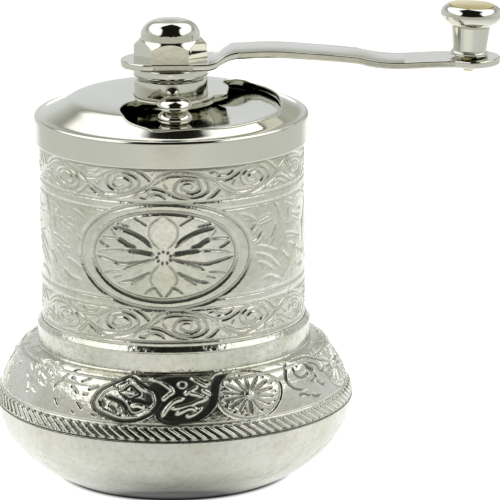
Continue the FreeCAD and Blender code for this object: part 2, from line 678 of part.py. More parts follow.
def make_crank_arm():
    body = new_body("crank_arm")
    sketch = new_sketch(body, "crank_arm_side", "XZ_Plane")
    add_loop(sketch, arm_side())
    strip = body.newObject("PartDesign::Pad", "crank_arm_strip")
    strip.Profile = sketch
    strip.Midplane = True
    bind(strip, "Length", 2 * S.arm_eye_half_width)
    doc.recompute()
    top = S.arm_seat + 3 * S.arm_rise
    reach = S.crank_radius * 1.3

    def surroundings(cut_sketch):
        add_loop(cut_sketch, rectangle(-reach, -reach, reach, reach))
        add_loop(cut_sketch, arm_plan())

    pocket(body, surroundings, top, 6 * S.arm_rise, "outline")
    pocket(body, lambda hole: flats_hole(hole, S.seat_gap), top, 6 * S.arm_rise, "spindle_hole")
    rivet_hole_radius = S.rivet_radius + 2 * S.seat_gap
    pocket(body, lambda hole: add_circle(hole, S.crank_radius, ZERO, rivet_hole_radius), top,
           6 * S.arm_rise, "rivet_hole")
    return body


def make_dome_nut():
    body = new_body("dome_nut")
    seat = S.arm_seat + S.arm_thickness
    hex_top = seat + S.nut_hex_height
    lip = hex_top + S.nut_chamfer_height
    dome = lip + S.nut_lip_height
    corner = S.nut_flats / math.sqrt(3.0)
    pad(body, lambda sketch: add_loop(sketch, hexagon(S.nut_flats)), seat,
        S.nut_hex_height + S.nut_chamfer_height, "hexagon")
    doc.recompute()
    edge = S.nut_dome_radius + S.nut_edge
    chamfer_low = hex_top - S.nut_chamfer
    beyond = corner + S.nut_dome_height
    sketch = new_sketch(body, "dome_nut_chamfer_outline", "XZ_Plane")
    add_loop(sketch, [(corner + S.nut_edge, chamfer_low), (beyond, chamfer_low),
                      (beyond, dome), (edge, dome), (edge, lip)])
    chamfer = body.newObject("PartDesign::Groove", "dome_nut_chamfer")
    chamfer.Profile = sketch
    chamfer.ReferenceAxis = (sketch, ["V_Axis"])
    chamfer.Angle = 360.0
    doc.recompute()
    thread_top = S.spindle_top + S.nut_thread_room
    half = S.nut_dome_radius
    cap_sketch = new_sketch(body, "dome_nut_dome_outline", "XZ_Plane")
    add_loop(cap_sketch, [(ZERO, hex_top), (half, hex_top), (half, dome),
                          (half * 0.80, dome + S.nut_dome_height * 0.62, half * 0.42,
                           dome + S.nut_dome_height * 0.92),
                          crown(half * 0.42, dome + S.nut_dome_height * 0.92,
                                S.nut_dome_height * 0.08)])
    dome_turn = body.newObject("PartDesign::Revolution", "dome_nut_dome")
    dome_turn.Profile = cap_sketch
    dome_turn.ReferenceAxis = (cap_sketch, ["V_Axis"])
    dome_turn.Angle = 360.0
    doc.recompute()
    pocket(body, lambda hole: add_circle(hole, ZERO, ZERO, S.spindle_radius + S.seat_gap),
           thread_top, thread_top - seat, "thread")
    return body


def make_knob_grip():
    body = new_body("knob_grip")
    bore = S.rivet_radius + S.run_gap
    seat_radius = S.rivet_head_radius + S.knob_gap
    groove = S.knob_neck_groove
    neck = S.knob_neck_height
    head_rise = S.knob_head_height - neck
    rim_rise = S.knob_top_height - S.knob_head_height
    path = [(bore, ZERO), (S.knob_foot_radius - S.knob_foot_edge, ZERO),
            (S.knob_foot_radius, S.knob_foot_height / 2,
             S.knob_foot_radius - 2 * groove, S.knob_foot_height),
            (S.knob_waist_radius, S.knob_foot_height + 2 * groove),
            (S.knob_neck_radius, neck - groove), (S.knob_neck_radius - groove, neck),
            (S.knob_neck_radius + 2 * groove, neck + groove),
            (S.knob_head_radius * 0.882, neck + head_rise * 0.457,
             S.knob_head_radius, S.knob_head_height),
            (S.knob_head_radius * 0.937, S.knob_head_height + rim_rise * 0.605,
             S.knob_rim_radius, S.knob_top_height),
            (seat_radius, S.knob_top_height),
            (seat_radius, S.knob_top_height - S.rivet_head_thickness),
            (bore, S.knob_top_height - S.rivet_head_thickness)]
    revolve(body, path)
    stand_on_knob_axis(body, S.knob_foot_gap)
    return body


def make_knob_rivet():
    body = new_body("knob_rivet")
    head_low = S.knob_foot_gap + S.knob_top_height - S.rivet_head_thickness + S.knob_gap
    head_high = head_low + S.rivet_head_thickness
    tail = -(S.arm_thickness + S.rivet_tail_height)
    seat = -(S.arm_thickness + S.rivet_washer_gap)
    revolve(body, [(ZERO, tail), (S.rivet_tail_radius, tail), (S.rivet_tail_radius, seat),
                   (S.rivet_radius - S.rivet_step, seat), (S.rivet_radius - S.rivet_step, ZERO),
                   (S.rivet_radius, ZERO), (S.rivet_radius, head_low),
                   (S.rivet_head_radius, head_low), (S.rivet_head_radius, head_high),
                   crown(S.rivet_head_radius, head_high, S.rivet_crown)])
    stand_on_knob_axis(body, ZERO)
    return body


def make_rivet_washer():
    body = new_body("rivet_washer")
    top = -(S.arm_thickness + S.rivet_washer_gap)
    low = top - S.rivet_washer_thickness
    edge = S.rivet_washer_edge
    revolve(body, [(S.rivet_tail_radius, low), (S.rivet_washer_radius - edge, low),
                   (S.rivet_washer_radius, low + edge), (S.rivet_washer_radius, top),
                   (S.rivet_tail_radius, top)])
    stand_on_knob_axis(body, ZERO)
    return body


def make_burr_carrier():
    body = new_body("burr_carrier")
    flange_top = S.ledge_height + S.carrier_flange_thickness
    flange_inner = S.carrier_radius - S.carrier_flange_width
    bore = S.outer_burr_radius + S.seat_gap
    cup = bore + S.cup_wall
    path = [(bore - S.cup_lip, S.cup_bottom), (S.cup_flange_radius, S.cup_bottom),
            (S.cup_flange_radius, S.cup_bottom + S.cup_flange_thickness),
            (cup, S.cup_bottom + S.cup_flange_thickness), (cup, S.cup_top - S.cup_wall),
            (flange_inner, S.ledge_height), (S.carrier_radius, S.ledge_height),
            (S.carrier_radius, flange_top), (flange_inner, flange_top),
            (cup, S.cup_top), (bore, S.cup_top), (bore, S.cup_bottom + S.cup_lip),
            (bore - S.cup_lip, S.cup_bottom + S.cup_lip)]
    revolve(body, path)
    doc.recompute()

    def bridge_holes(sketch):
        for side in (-1, 1):
            add_circle(sketch, side * S.bridge_screw_place, ZERO, S.screw_radius + S.seat_gap)

    def yoke_holes(sketch):
        for side in (-1, 1):
            add_circle(sketch, side * S.yoke_screw_place, ZERO, S.screw_radius + S.seat_gap)

    pocket(body, bridge_holes, flange_top, S.carrier_flange_thickness, "bridge_holes")
    pocket(body, yoke_holes, S.cup_bottom + S.cup_flange_thickness, S.cup_flange_thickness,
           "yoke_holes")
    return body


def drill_for_pin(body):
    drill = new_sketch(body, body.Label + "_pin_outline", "XZ_Plane")
    add_circle(drill, ZERO, S.burr_pin_height, S.burr_pin_radius)
    hole = body.newObject("PartDesign::Pocket", body.Label + "_pin_hole")
    hole.Profile = drill
    hole.Midplane = True
    bind(hole, "Length", 2 * (S.burr_pin_reach + S.seat_gap))


def burr_cone(height, gap):
    """Radius at a height of the inner burr's cone, or of the cone a gap outside it."""
    fall = (S.burr_large_radius - S.burr_small_radius) / (S.burr_height - S.burr_foot)
    return S.burr_large_radius + gap - fall * (height - S.burr_bottom - S.burr_foot)


def make_outer_burr():
    body = new_body("outer_burr")
    low = S.cup_bottom + S.cup_lip
    high = low + S.outer_burr_height
    edge_low = high - S.outer_burr_edge
    wide, narrow = burr_cone(low, S.burr_gap), burr_cone(edge_low, S.burr_gap)
    revolve(body, [(wide, low), (S.outer_burr_radius, low), (S.outer_burr_radius, high),
                   (narrow + S.outer_burr_edge, high), (narrow, edge_low)])
    doc.recompute()
    root = narrow - S.flute_overrun
    outline = [(root, -S.flute_width / 2), (wide + S.flute_depth, ZERO), (root, S.flute_width / 2)]
    cut = pocket(body, lambda sketch: add_loop(sketch, outline), high, S.outer_burr_height, "flute")
    doc.recompute()
    polar_pattern(body, cut, S.flute_count)
    return body


def make_burr_retaining_ring():
    body = new_body("burr_retaining_ring")
    low = S.cup_bottom + S.cup_lip + S.outer_burr_height
    revolve(body, rectangle(S.outer_burr_radius - S.ring_width, low, S.outer_burr_radius,
                            low + S.ring_thickness))
    return body


def make_inner_burr():
    body = new_body("inner_burr")
    low, high = S.burr_bottom, S.burr_bottom + S.burr_height
    bore = S.spindle_radius + S.seat_gap
    revolve(body, [(bore, low), (S.burr_large_radius, low), (S.burr_large_radius, low + S.burr_foot),
                   (S.burr_small_radius, high), (bore, high)])
    doc.recompute()
    reach = S.burr_large_radius + S.flute_overrun
    inner = S.burr_small_radius + S.flute_root
    outline = [(inner, ZERO), (reach, -S.flute_width), (reach, S.flute_width)]
    cut = pocket(body, lambda sketch: add_loop(sketch, outline), high, S.burr_height - S.flute_end,
                 "flute")
    doc.recompute()
    polar_pattern(body, cut, S.flute_count)
    doc.recompute()
    drill_for_pin(body)
    return body


def make_burr_pin():
    """Cross pin through the spindle that drives the inner burr."""
    pin = doc.addObject("Part::Cylinder", "burr_pin")
    pin.Label = "burr_pin"
    bind(pin, "Radius", S.burr_pin_radius - S.seat_gap)
    bind(pin, "Height", 2 * S.burr_pin_reach)
    pin.Placement = FreeCAD.Placement(V(0, 0, 0), FreeCAD.Rotation(V(1, 0, 0), 90))
    bind(pin, "Placement.Base.y", S.burr_pin_reach)
    bind(pin, "Placement.Base.z", S.burr_pin_height)
    return pin


def make_spring_washer():
    body = new_body("spring_washer")
    low = S.burr_bottom + S.burr_height
    revolve(body, rectangle(S.spindle_radius + S.seat_gap, low, S.spring_washer_radius,
                            low + S.spring_washer_thickness))
    return body


def make_burr_spring():
    """Coil spring around the spindle, from the burr's washer up to the bridge."""
    low = (S.burr_bottom + S.burr_height + S.spring_washer_thickness).number
    high = (S.ledge_height + S.carrier_flange_thickness).number
    wire = S.spring_wire.number / 2
    gap = S.spring_seat_gap.number
    length = high - low - 2 * wire - 2 * gap
    helix = Part.makeHelix(length / S.spring_turns.number, length, S.spring_radius.number)
    section = Part.Wire([Part.makeCircle(wire, V(S.spring_radius.number, 0, 0), V(0, 1, 0))])
    coil = Part.Wire(helix.Edges).makePipeShell([section], True, True)
    spring = doc.addObject("Part::Feature", "burr_spring")
    spring.Label = "burr_spring"
    spring.Shape = coil
    spring.Placement = FreeCAD.Placement(V(0, 0, low + wire + gap), FreeCAD.Rotation())
    return spring


def make_upper_bridge():
    body = new_body("upper_bridge")
    low = S.ledge_height + S.carrier_flange_thickness
    half = S.bridge_width / 2
    reach = (S.bridge_length * S.bridge_length - half * half).root()
    outline = [(-reach, half), (-S.bridge_length, ZERO, -reach, -half), (reach, -half),
               (S.bridge_length, ZERO, reach, half)]
    pad(body, lambda sketch: add_loop(sketch, outline), low, S.bridge_thickness, "bar")
    doc.recompute()
    high = low + S.bridge_thickness

    def holes(sketch):
        add_circle(sketch, ZERO, ZERO, S.spindle_radius + S.run_gap)
        for side in (-1, 1):
            add_circle(sketch, side * S.bridge_screw_place, ZERO, S.screw_radius + S.seat_gap)

    pocket(body, holes, high, S.bridge_thickness, "holes")
    return body


def screw(name, x, seat, length, downwards):
    """Slotted cheese-head screw on the XZ plane, with its head above or below its seat."""
    head = doc.addObject("Part::Cylinder", name + "_head")
    bind(head, "Radius", S.screw_head_radius)
    bind(head, "Height", S.screw_head_height)
    shank = doc.addObject("Part::Cylinder", name + "_shank")
    bind(shank, "Radius", S.screw_radius)
    bind(shank, "Height", length + S.screw_head_height / 2)
    slot = doc.addObject("Part::Box", name + "_slot")
    bind(slot, "Length", 3 * S.screw_head_radius)
    bind(slot, "Width", S.screw_slot_width)
    bind(slot, "Height", S.screw_slot_depth)
    if downwards:
        head_z, shank_z = seat, seat - length
        slot_z = seat + S.screw_head_height - S.screw_slot_depth
    else:
        head_z, shank_z = seat - S.screw_head_height, seat - S.screw_head_height / 2
        slot_z = seat - S.screw_head_height
    places = ((head, x, ZERO, head_z), (shank, x, ZERO, shank_z),
              (slot, x - 1.5 * S.screw_head_radius, -S.screw_slot_width / 2, slot_z))
    for solid, px, py, pz in places:
        for axis, size in zip("xyz", (px, py, pz)):
            solid.setExpression("Placement.Base." + axis, size.words)
    joined = doc.addObject("Part::Fuse", name + "_joined")
    joined.Base, joined.Tool = head, shank
    cut = doc.addObject("Part::Cut", name)
    cut.Base, cut.Tool = joined, slot
    return cut


def make_screws(label, place, seat, length, downwards):
    pair = [screw(label + "_" + word, side * place, seat, length, downwards)
            for side, word in ((-1, "left"), (1, "right"))]
    group = doc.addObject("Part::Compound", label)
    group.Label = label
    group.Links = pair
    return group


def make_thrust_yoke():
    body = new_body("thrust_yoke")
    top = S.cup_bottom
    under_tab = top - S.yoke_thickness
    bar_top = S.cup_bottom - S.yoke_drop
    bar_low = bar_top - S.yoke_thickness
    inner, outer = S.yoke_inner, S.yoke_inner + S.yoke_thickness
    tip = S.cup_flange_radius
    sketch = new_sketch(body, "thrust_yoke_side", "XZ_Plane")
    add_loop(sketch, [(-tip, top), (-tip, under_tab), (-outer, under_tab), (-outer, bar_low),
                      (outer, bar_low), (outer, under_tab), (tip, under_tab), (tip, top),
                      (inner, top), (inner, bar_top), (-inner, bar_top), (-inner, top)])
    strap = body.newObject("PartDesign::Pad", "thrust_yoke_strap")
    strap.Profile = sketch
    strap.Midplane = True
    bind(strap, "Length", S.yoke_width)
    doc.recompute()

    def screw_holes(plan):
        for side in (-1, 1):
            add_circle(plan, side * S.yoke_screw_place, ZERO, S.screw_radius + S.seat_gap)

    pocket(body, screw_holes, top, S.yoke_thickness, "screw_holes")
    pocket(body, lambda plan: add_circle(plan, ZERO, ZERO, S.adjuster_radius + S.run_gap), bar_top,
           S.yoke_thickness, "thread")
    return body


def make_thrust_pad():
    body = new_body("thrust_pad")
    top = S.spindle_bottom - S.pad_gap
    revolve(body, [(ZERO, S.pad_low), (S.pad_radius - S.pad_edge, S.pad_low),
                   (S.pad_radius, S.pad_low + S.pad_edge), (S.pad_radius, top), (ZERO, top)])
    return body


def make_adjusting_screw():
    body = new_body("adjusting_screw")
    revolve(body, [(ZERO, S.adjuster_bottom), (S.adjuster_radius, S.adjuster_bottom),
                   (S.adjuster_radius, S.adjuster_top - S.adjuster_edge),
                   (S.adjuster_radius - S.adjuster_edge, S.adjuster_top), (ZERO, S.adjuster_top)])
    return body


def make_adjuster_wheel():
    body = new_body("adjuster_wheel")
    low, high = S.wheel_bottom, S.wheel_bottom + S.wheel_height
    floor, edge = S.adjuster_bottom, S.wheel_edge
    revolve(body, [(ZERO, low), (S.wheel_radius - edge, low), (S.wheel_radius, low + edge),
                   (S.wheel_radius, high - edge), (S.wheel_radius - edge, high),
                   (S.adjuster_radius, high), (S.adjuster_radius, floor), (ZERO, floor)])
    doc.recompute()
    cut = pocket(body, lambda sketch: add_circle(sketch, S.wheel_radius + S.wheel_notch * 0.4, ZERO,
                                                 S.wheel_notch), high, S.wheel_height, "notch")
    doc.recompute()
    polar_pattern(body, cut, S.wheel_notch_count)
    return body


def check_and_write(pieces):
    doc.recompute()
    for item in doc.Objects:
        if "Invalid" in item.State or "Error" in item.State:
            raise RuntimeError("%s failed: %s" % (item.Label, item.State))
    os.makedirs("parts", exist_ok=True)
    for piece in pieces:
        shape = piece.Shape
        if shape.isNull() or not shape.isValid():
            raise RuntimeError("%s has no valid shape" % piece.Label)
        shape.exportStep(os.path.join("parts", piece.Label + ".step"))
        print("%-22s solids %d  volume %10.2f" % (piece.Label, len(shape.Solids), shape.Volume))


def build():
    flange_top = S.ledge_height + S.carrier_flange_thickness
    pieces = [
        make_catch_bowl(), make_burr_housing(), make_hopper_barrel(), make_top_cap(),
        make_spindle_bush(), make_shutter_washer(), make_bush_nut(), make_filler_shutter(),
        make_shutter_finial(), make_finial_nut(), make_spindle(), make_crank_hub(),
        make_crank_arm(), make_dome_nut(), make_knob_grip(), make_knob_rivet(),
        make_rivet_washer(), make_burr_carrier(), make_outer_burr(), make_burr_retaining_ring(),
        make_inner_burr(), make_burr_pin(), make_spring_washer(), make_burr_spring(),
        make_upper_bridge(),
        make_screws("bridge_screws", S.bridge_screw_place, flange_top + S.bridge_thickness,
                    S.bridge_thickness + S.carrier_flange_thickness, True),
        make_thrust_yoke(),
        make_screws("yoke_screws", S.yoke_screw_place, S.cup_bottom - S.yoke_thickness,
                    S.yoke_thickness + S.cup_flange_thickness, False),
        make_thrust_pad(), make_adjusting_screw(), make_adjuster_wheel(),
    ]
    check_and_write(pieces)


build()
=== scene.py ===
import json
import math

import bpy
import numpy as np
from mathutils import Matrix, Vector


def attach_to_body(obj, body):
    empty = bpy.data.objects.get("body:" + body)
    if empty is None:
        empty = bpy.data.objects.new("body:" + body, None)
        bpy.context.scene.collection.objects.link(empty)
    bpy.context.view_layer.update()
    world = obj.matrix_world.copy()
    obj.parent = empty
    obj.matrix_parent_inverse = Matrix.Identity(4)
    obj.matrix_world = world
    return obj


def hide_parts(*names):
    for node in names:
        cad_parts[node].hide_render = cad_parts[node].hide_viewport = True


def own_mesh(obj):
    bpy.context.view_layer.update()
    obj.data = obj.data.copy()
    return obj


# A hand-cranked spice mill. Lengths are in millimetres until a mesh is made, then metres.
# Angles round the barrel, the belly and the bowl are in degrees from the front, which is -Y, positive
# towards the crank. Angles on the cap are in degrees from the crank, which is +X, negative at the front.

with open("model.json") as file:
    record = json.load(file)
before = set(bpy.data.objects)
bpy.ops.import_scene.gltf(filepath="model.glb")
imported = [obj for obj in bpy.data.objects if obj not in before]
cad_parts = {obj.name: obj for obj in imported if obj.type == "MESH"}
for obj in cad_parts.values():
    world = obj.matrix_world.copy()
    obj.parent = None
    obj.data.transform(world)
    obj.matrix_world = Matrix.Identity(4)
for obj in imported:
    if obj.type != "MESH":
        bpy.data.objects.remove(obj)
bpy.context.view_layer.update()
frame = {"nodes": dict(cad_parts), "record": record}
nodes = frame["nodes"]
MM = 0.001

# Sockets of the Mix node for colours, whose names its other kinds share
MIX_SHARE, MIX_FIRST, MIX_SECOND, MIX_RESULT = 0, 6, 7, 2


# Helpers for the finishes

class Value:
    """The output of a node. Arithmetic on it adds Math nodes to its tree."""

    def __init__(self, tree, link):
        self.tree = tree
        self.link = link

    def work(self, operation, first, second):
        return self.tree.node("ShaderNodeMath", {"operation": operation}, {0: first, 1: second})

    def __add__(self, other):
        return self.work("ADD", self, other)

    def __sub__(self, other):
        return self.work("SUBTRACT", self, other)

    def __rsub__(self, other):
        return self.work("SUBTRACT", other, self)

    def __mul__(self, other):
        return self.work("MULTIPLY", self, other)

    __radd__ = __add__
    __rmul__ = __mul__

    def size(self):
        return self.work("ABSOLUTE", self, 0.0)


class Tree:
    """A node tree whose nodes are made one by one."""

    def __init__(self, tree):
        self.tree = tree

    def node(self, kind, settings=None, sockets=None, output=0):
        made = self.tree.nodes.new(kind)
        for name, setting in (settings or {}).items():
            if name == "stops":
                self.set_stops(made.color_ramp, setting)
            else:
                setattr(made, name, setting)
        for name, given in (sockets or {}).items():
            if isinstance(given, Value):
                self.tree.links.new(given.link, made.inputs[name])
            else:
                made.inputs[name].default_value = given
        return Value(self, made.outputs[output]) if made.outputs else None

    def set_stops(self, ramp, stops):
        """Give a colour ramp its stops, each a place and a colour."""
        ramp.elements.remove(ramp.elements[1])
        for number, (place, shade) in enumerate(stops):
            element = ramp.elements.new(place) if number else ramp.elements[0]
            element.position = place
            element.color = colour(*shade)


class Finish(Tree):
    """The nodes of a material or of the world."""

    def __init__(self, holder):
        holder.use_nodes = True
        super().__init__(holder.node_tree)
        self.holder = holder
        self.tree.nodes.clear()

    def place(self):
        return self.node("ShaderNodeTexCoord", output="Object")

    def parts(self, vector):
        """The three parts of a vector."""
        split = self.node("ShaderNodeSeparateXYZ", sockets={"Vector": vector}).link.node.outputs
        return [Value(self, split[name]) for name in "XYZ"]

    def noise(self, scale, detail=3.0):
        return self.node("ShaderNodeTexNoise", sockets={
            "Vector": self.place(), "Scale": scale, "Detail": detail, "Roughness": 0.55})

    def curve(self, value, stops):
        return self.node("ShaderNodeValToRGB", {"stops": stops}, {"Fac": value})

    def grade(self, value, first, last, low=0.0, high=1.0):
        """A number that goes from low to high while the value goes from first to last."""
        return self.curve(value, [(first, (low,) * 3), (last, (high,) * 3)])

    def mix(self, share, first, second):
        return self.node("ShaderNodeMix", {"data_type": "RGBA"}, {
            MIX_SHARE: share, MIX_FIRST: first, MIX_SECOND: second}, output=MIX_RESULT)


class Pattern(Tree):
    """A Geometry Nodes tree with named inputs for its sizes."""

    def __init__(self, name, sizes):
        super().__init__(bpy.data.node_groups.new(name, "GeometryNodeTree"))
        sockets = self.tree.interface
        sockets.new_socket("Geometry", in_out="INPUT", socket_type="NodeSocketGeometry")
        for size, kind in sizes.items():
            sockets.new_socket(size, in_out="INPUT", socket_type=kind)
        sockets.new_socket("Geometry", in_out="OUTPUT", socket_type="NodeSocketGeometry")
        self.given = self.tree.nodes.new("NodeGroupInput")

    def input(self, name):
        return Value(self, self.given.outputs[name])

    def grow(self, piece, shape, material, sizes):
        """End the tree, set its sizes, and turn what it makes into the piece's plain mesh."""
        whole = self.node("GeometryNodeRealizeInstances", sockets={"Geometry": shape})
        coated = self.node("GeometryNodeSetMaterial", sockets={"Geometry": whole, "Material": material})
        self.node("NodeGroupOutput", sockets={"Geometry": coated})
        growth = piece.modifiers.new(self.tree.name, "NODES")
        growth.node_group = self.tree
        for socket in self.tree.interface.items_tree:
            if socket.in_out == "INPUT" and socket.name in sizes:
                growth[socket.identifier] = sizes[socket.name]
        settle(piece)
        smooth(piece.data)


def settle(piece):
    """Turn what a piece's modifiers make into its plain mesh."""
    done = bpy.data.meshes.new_from_object(piece.evaluated_get(bpy.context.evaluated_depsgraph_get()))
    piece.modifiers.clear()
    piece.data = done


def smooth(mesh):
    mesh.polygons.foreach_set("use_smooth", np.ones(len(mesh.polygons), bool))


def colour(red, green, blue):
    return (red, green, blue, 1.0)


def metal(name, base, tint, roughness, worn, wear_scale, grain, grain_scale):
    """A plated or bare metal: uneven colour and gloss, with a fine grain in the surface."""
    finish = Finish(bpy.data.materials.new(name))
    patches = finish.noise(wear_scale)
    shade = finish.mix(patches, colour(*base), colour(*tint))
    shine = finish.grade(patches, 0.3, 0.75, roughness - worn, roughness + worn)
    ripple = finish.noise(grain_scale, 2.0)
    bump = finish.node("ShaderNodeBump", sockets={
        "Strength": grain, "Distance": 0.1 * MM, "Height": ripple})
    surface = finish.node("ShaderNodeBsdfPrincipled", sockets={
        "Base Color": shade, "Metallic": 1.0, "Roughness": shine, "Normal": bump})
    finish.node("ShaderNodeOutputMaterial", sockets={"Surface": surface})
    return finish.holder


def engraved_metal(name, base, tint, dark, roughness):
    """Nickel plate over engraving: polished on the high parts, speckled, and dark in the cuts, partly with
    patina and partly with painted shade.
    """
    finish = Finish(bpy.data.materials.new(name))
    cut = finish.node("ShaderNodeAttribute", {"attribute_name": "cut"}, output="Fac")
    patches = finish.noise(90.0)
    specks = finish.noise(900.0)
    clean = finish.mix(finish.grade(patches, 0.36, 0.66), base, tint)
    pitted = finish.grade(specks, 0.46, 0.76, 0.0, 0.15)
    clean = finish.mix(pitted, clean, dark)
    # The cut attribute darkens the colour: patina in the hollows together with painted shade
    shade = finish.mix(cut, clean, dark)
    shine = finish.grade(patches, 0.3, 0.75, roughness - 0.05, roughness + 0.06)
    dents = finish.noise(330.0)
    bump = finish.node("ShaderNodeBump", sockets={
        "Strength": 0.6, "Distance": 0.4 * MM, "Height": specks * 0.4 + dents})
    surface = finish.node("ShaderNodeBsdfPrincipled", sockets={
        "Base Color": shade, "Metallic": 1.0 - cut * 0.6, "Roughness": shine + cut * 0.25, "Normal": bump})
    finish.node("ShaderNodeOutputMaterial", sockets={"Surface": surface})
    return finish.holder


# Helpers for the shapes

def link_piece(name, mesh):
    """A new piece of the scene with this mesh."""
    piece = bpy.data.objects.new(name, mesh)
    bpy.context.scene.collection.objects.link(piece)
    return piece


def coat(mesh, slot):
    """Give a mesh the finish of a slot, and no other."""
    mesh.materials.clear()
    mesh.materials.append(FINISHES[slot])


def attach(piece, body, slot, *stands_for):
    """Give a piece its finish, the body that it moves with, and the nodes that it stands for."""
    coat(piece.data, slot)
    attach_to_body(piece, body)
    if stands_for:
        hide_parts(*stands_for)


def full_turn(count):
    """Even turns in radians, from 0 to just before a full circle."""
    return np.linspace(0, 2 * math.pi, count, endpoint=False)


def arc(start, middle, end, steps):
    """Points of the circular arc through three points, without its start."""
    (ax, ay), (bx, by), (cx, cy) = start, middle, end
    twice = 2 * (ax * (by - cy) + bx * (cy - ay) + cx * (ay - by))
    a2, b2, c2 = ax * ax + ay * ay, bx * bx + by * by, cx * cx + cy * cy
    ox = (a2 * (by - cy) + b2 * (cy - ay) + c2 * (ay - by)) / twice
    oy = (a2 * (cx - bx) + b2 * (ax - cx) + c2 * (bx - ax)) / twice
    radius = math.hypot(ax - ox, ay - oy)
    turns = np.unwrap([math.atan2(y - oy, x - ox) for x, y in (start, middle, end)])
    later = np.linspace(turns[0], turns[2], steps + 1)[1:]
    return [(ox + radius * math.cos(t), oy + radius * math.sin(t)) for t in later]


def even_rows(points, count):
    """The same line as a count of points an even step apart."""
    line = np.array(points, float)
    along = np.concatenate([[0], np.cumsum(np.hypot(*np.diff(line, axis=0).T))])
    wanted = np.linspace(0, along[-1], count)
    return np.stack([np.interp(wanted, along, line[:, k]) for k in (0, 1)], 1)


def sweep(points, steps=10):
    """Smooth curve through the given points."""
    p = np.array(points, float)
    if len(p) < 3:
        return p
    p = np.concatenate([[2 * p[0] - p[1]], p, [2 * p[-1] - p[-2]]])
    t = np.linspace(0, 1, steps, endpoint=False)[:, None]
    spans = []
    for a, b, c, d in zip(p, p[1:], p[2:], p[3:]):
        spans.append(0.5 * (2 * b + (c - a) * t + (2 * a - 5 * b + 4 * c - d) * t ** 2
                            + (3 * b - a - 3 * c + d) * t ** 3))
    return np.concatenate(spans + [p[-2:-1]])


# Step between the marks of a line, and the share of the painted shade in the cuts that stays at the sides
LINE_STEP, LEAST_PAINTED_SHADE = 0.07, 0.16


class Skin:
    """The outer face of a turned piece, unrolled: rows up its side and columns round it."""

    def __init__(self, line, rows, columns):
        self.rows = even_rows(line, rows)
        self.columns = columns
        self.turn = 2 * math.pi / columns
        self.step = np.hypot(*(self.rows[1] - self.rows[0]))
        self.along = np.arange(rows) * self.step
        tangent = np.gradient(self.rows, axis=0)
        tangent /= np.linalg.norm(tangent, axis=1)[:, None]
        self.out = np.stack([tangent[:, 1], -tangent[:, 0]], 1)
        self.cuts = np.zeros((rows, columns))
        self.ridges = np.zeros((rows, columns))
        # How dark each place is painted: patina in the cuts and painted shade
        self.shade = np.zeros((rows, columns))

    def at_height(self, height):
        """Length along the side at a height."""
        return np.interp(height, self.rows[:, 1], self.along)

    def stamp(self, field, angles, along, width, value):
        """Round mark at each place; the strongest mark wins."""
        radius = np.interp(along, self.along, self.rows[:, 0])
        reach_rows = int(math.ceil(np.max(width) / 2 / self.step)) + 1
        reach_columns = int(math.ceil(np.max(width) / 2 / (radius.min() * self.turn))) + 1
        row = np.rint(along / self.step).astype(int)
        column = np.rint(angles / self.turn).astype(int)
        half = np.broadcast_to(np.asarray(width, float) / 2, along.shape)
        value = np.broadcast_to(np.asarray(value, float), along.shape)
        for down in range(-reach_rows, reach_rows + 1):
            i = row + down
            dy = i * self.step - along
            for across in range(-reach_columns, reach_columns + 1):
                j = column + across
                dx = (j * self.turn - angles) * radius
                near = 1 - (dx * dx + dy * dy) / (half * half)
                use = (i >= 0) & (i < len(self.rows)) & (near > 0)
                np.maximum.at(field, (i[use], j[use] % self.columns), (near * value)[use])

    def line(self, centre, points, width, depth, shade=0.0, raised=False, even=False):
        """Cut or raised line through points in mm round a centre (degrees, height). Its ends thin out
        unless it is even."""
        points = np.asarray(points, float)
        length = np.concatenate([[0], np.cumsum(np.hypot(*np.diff(points, axis=0).T))])
        wanted = np.linspace(0, length[-1], max(2, int(length[-1] / LINE_STEP)))
        along = self.at_height(centre[1]) + np.interp(wanted, length, points[:, 1])
        radius = np.interp(along, self.along, self.rows[:, 0])
        angles = math.radians(centre[0]) + np.interp(wanted, length, points[:, 0]) / radius
        share = wanted / max(length[-1], 1e-9)
        swell = 1.0 if even else np.clip(5 * np.minimum(share, 1 - share) + 0.4, 0, 1)
        width = width * swell * np.ones(len(share))
        if raised:
            self.stamp(self.ridges, angles, along, width, depth * swell)
        else:
            self.stamp(self.cuts, angles, along, width, depth * swell)
            self.stamp(self.shade, angles, along, width, shade * swell)

    def ring(self, height, width, depth, shade):
        """Cut all the way round at a height."""
        near = 1 - ((self.along - self.at_height(height)) / (width / 2)) ** 2
        self.sink(np.clip(near, 0, 1)[:, None], depth, shade)

    def local(self, centre):
        """Grids of x and y in mm round a centre, for shapes given by a formula."""
        columns = np.arange(self.columns) * self.turn - math.radians(centre[0])
        columns = (columns + math.pi) % (2 * math.pi) - math.pi
        x = columns[None, :] * self.rows[:, 0][:, None]
        y = (self.along - self.at_height(centre[1]))[:, None] + 0 * x
        return x, y

    def sink(self, share, depth, shade):
        """Lower the ground where share is 1, softly where it is less."""
        np.maximum(self.cuts, share * depth, out=self.cuts)
        np.maximum(self.shade, share * shade, out=self.shade)

    def clear(self, inside):
        """Take all marks off a stretch of the skin."""
        for field in (self.cuts, self.ridges, self.shade):
            field[inside] = 0


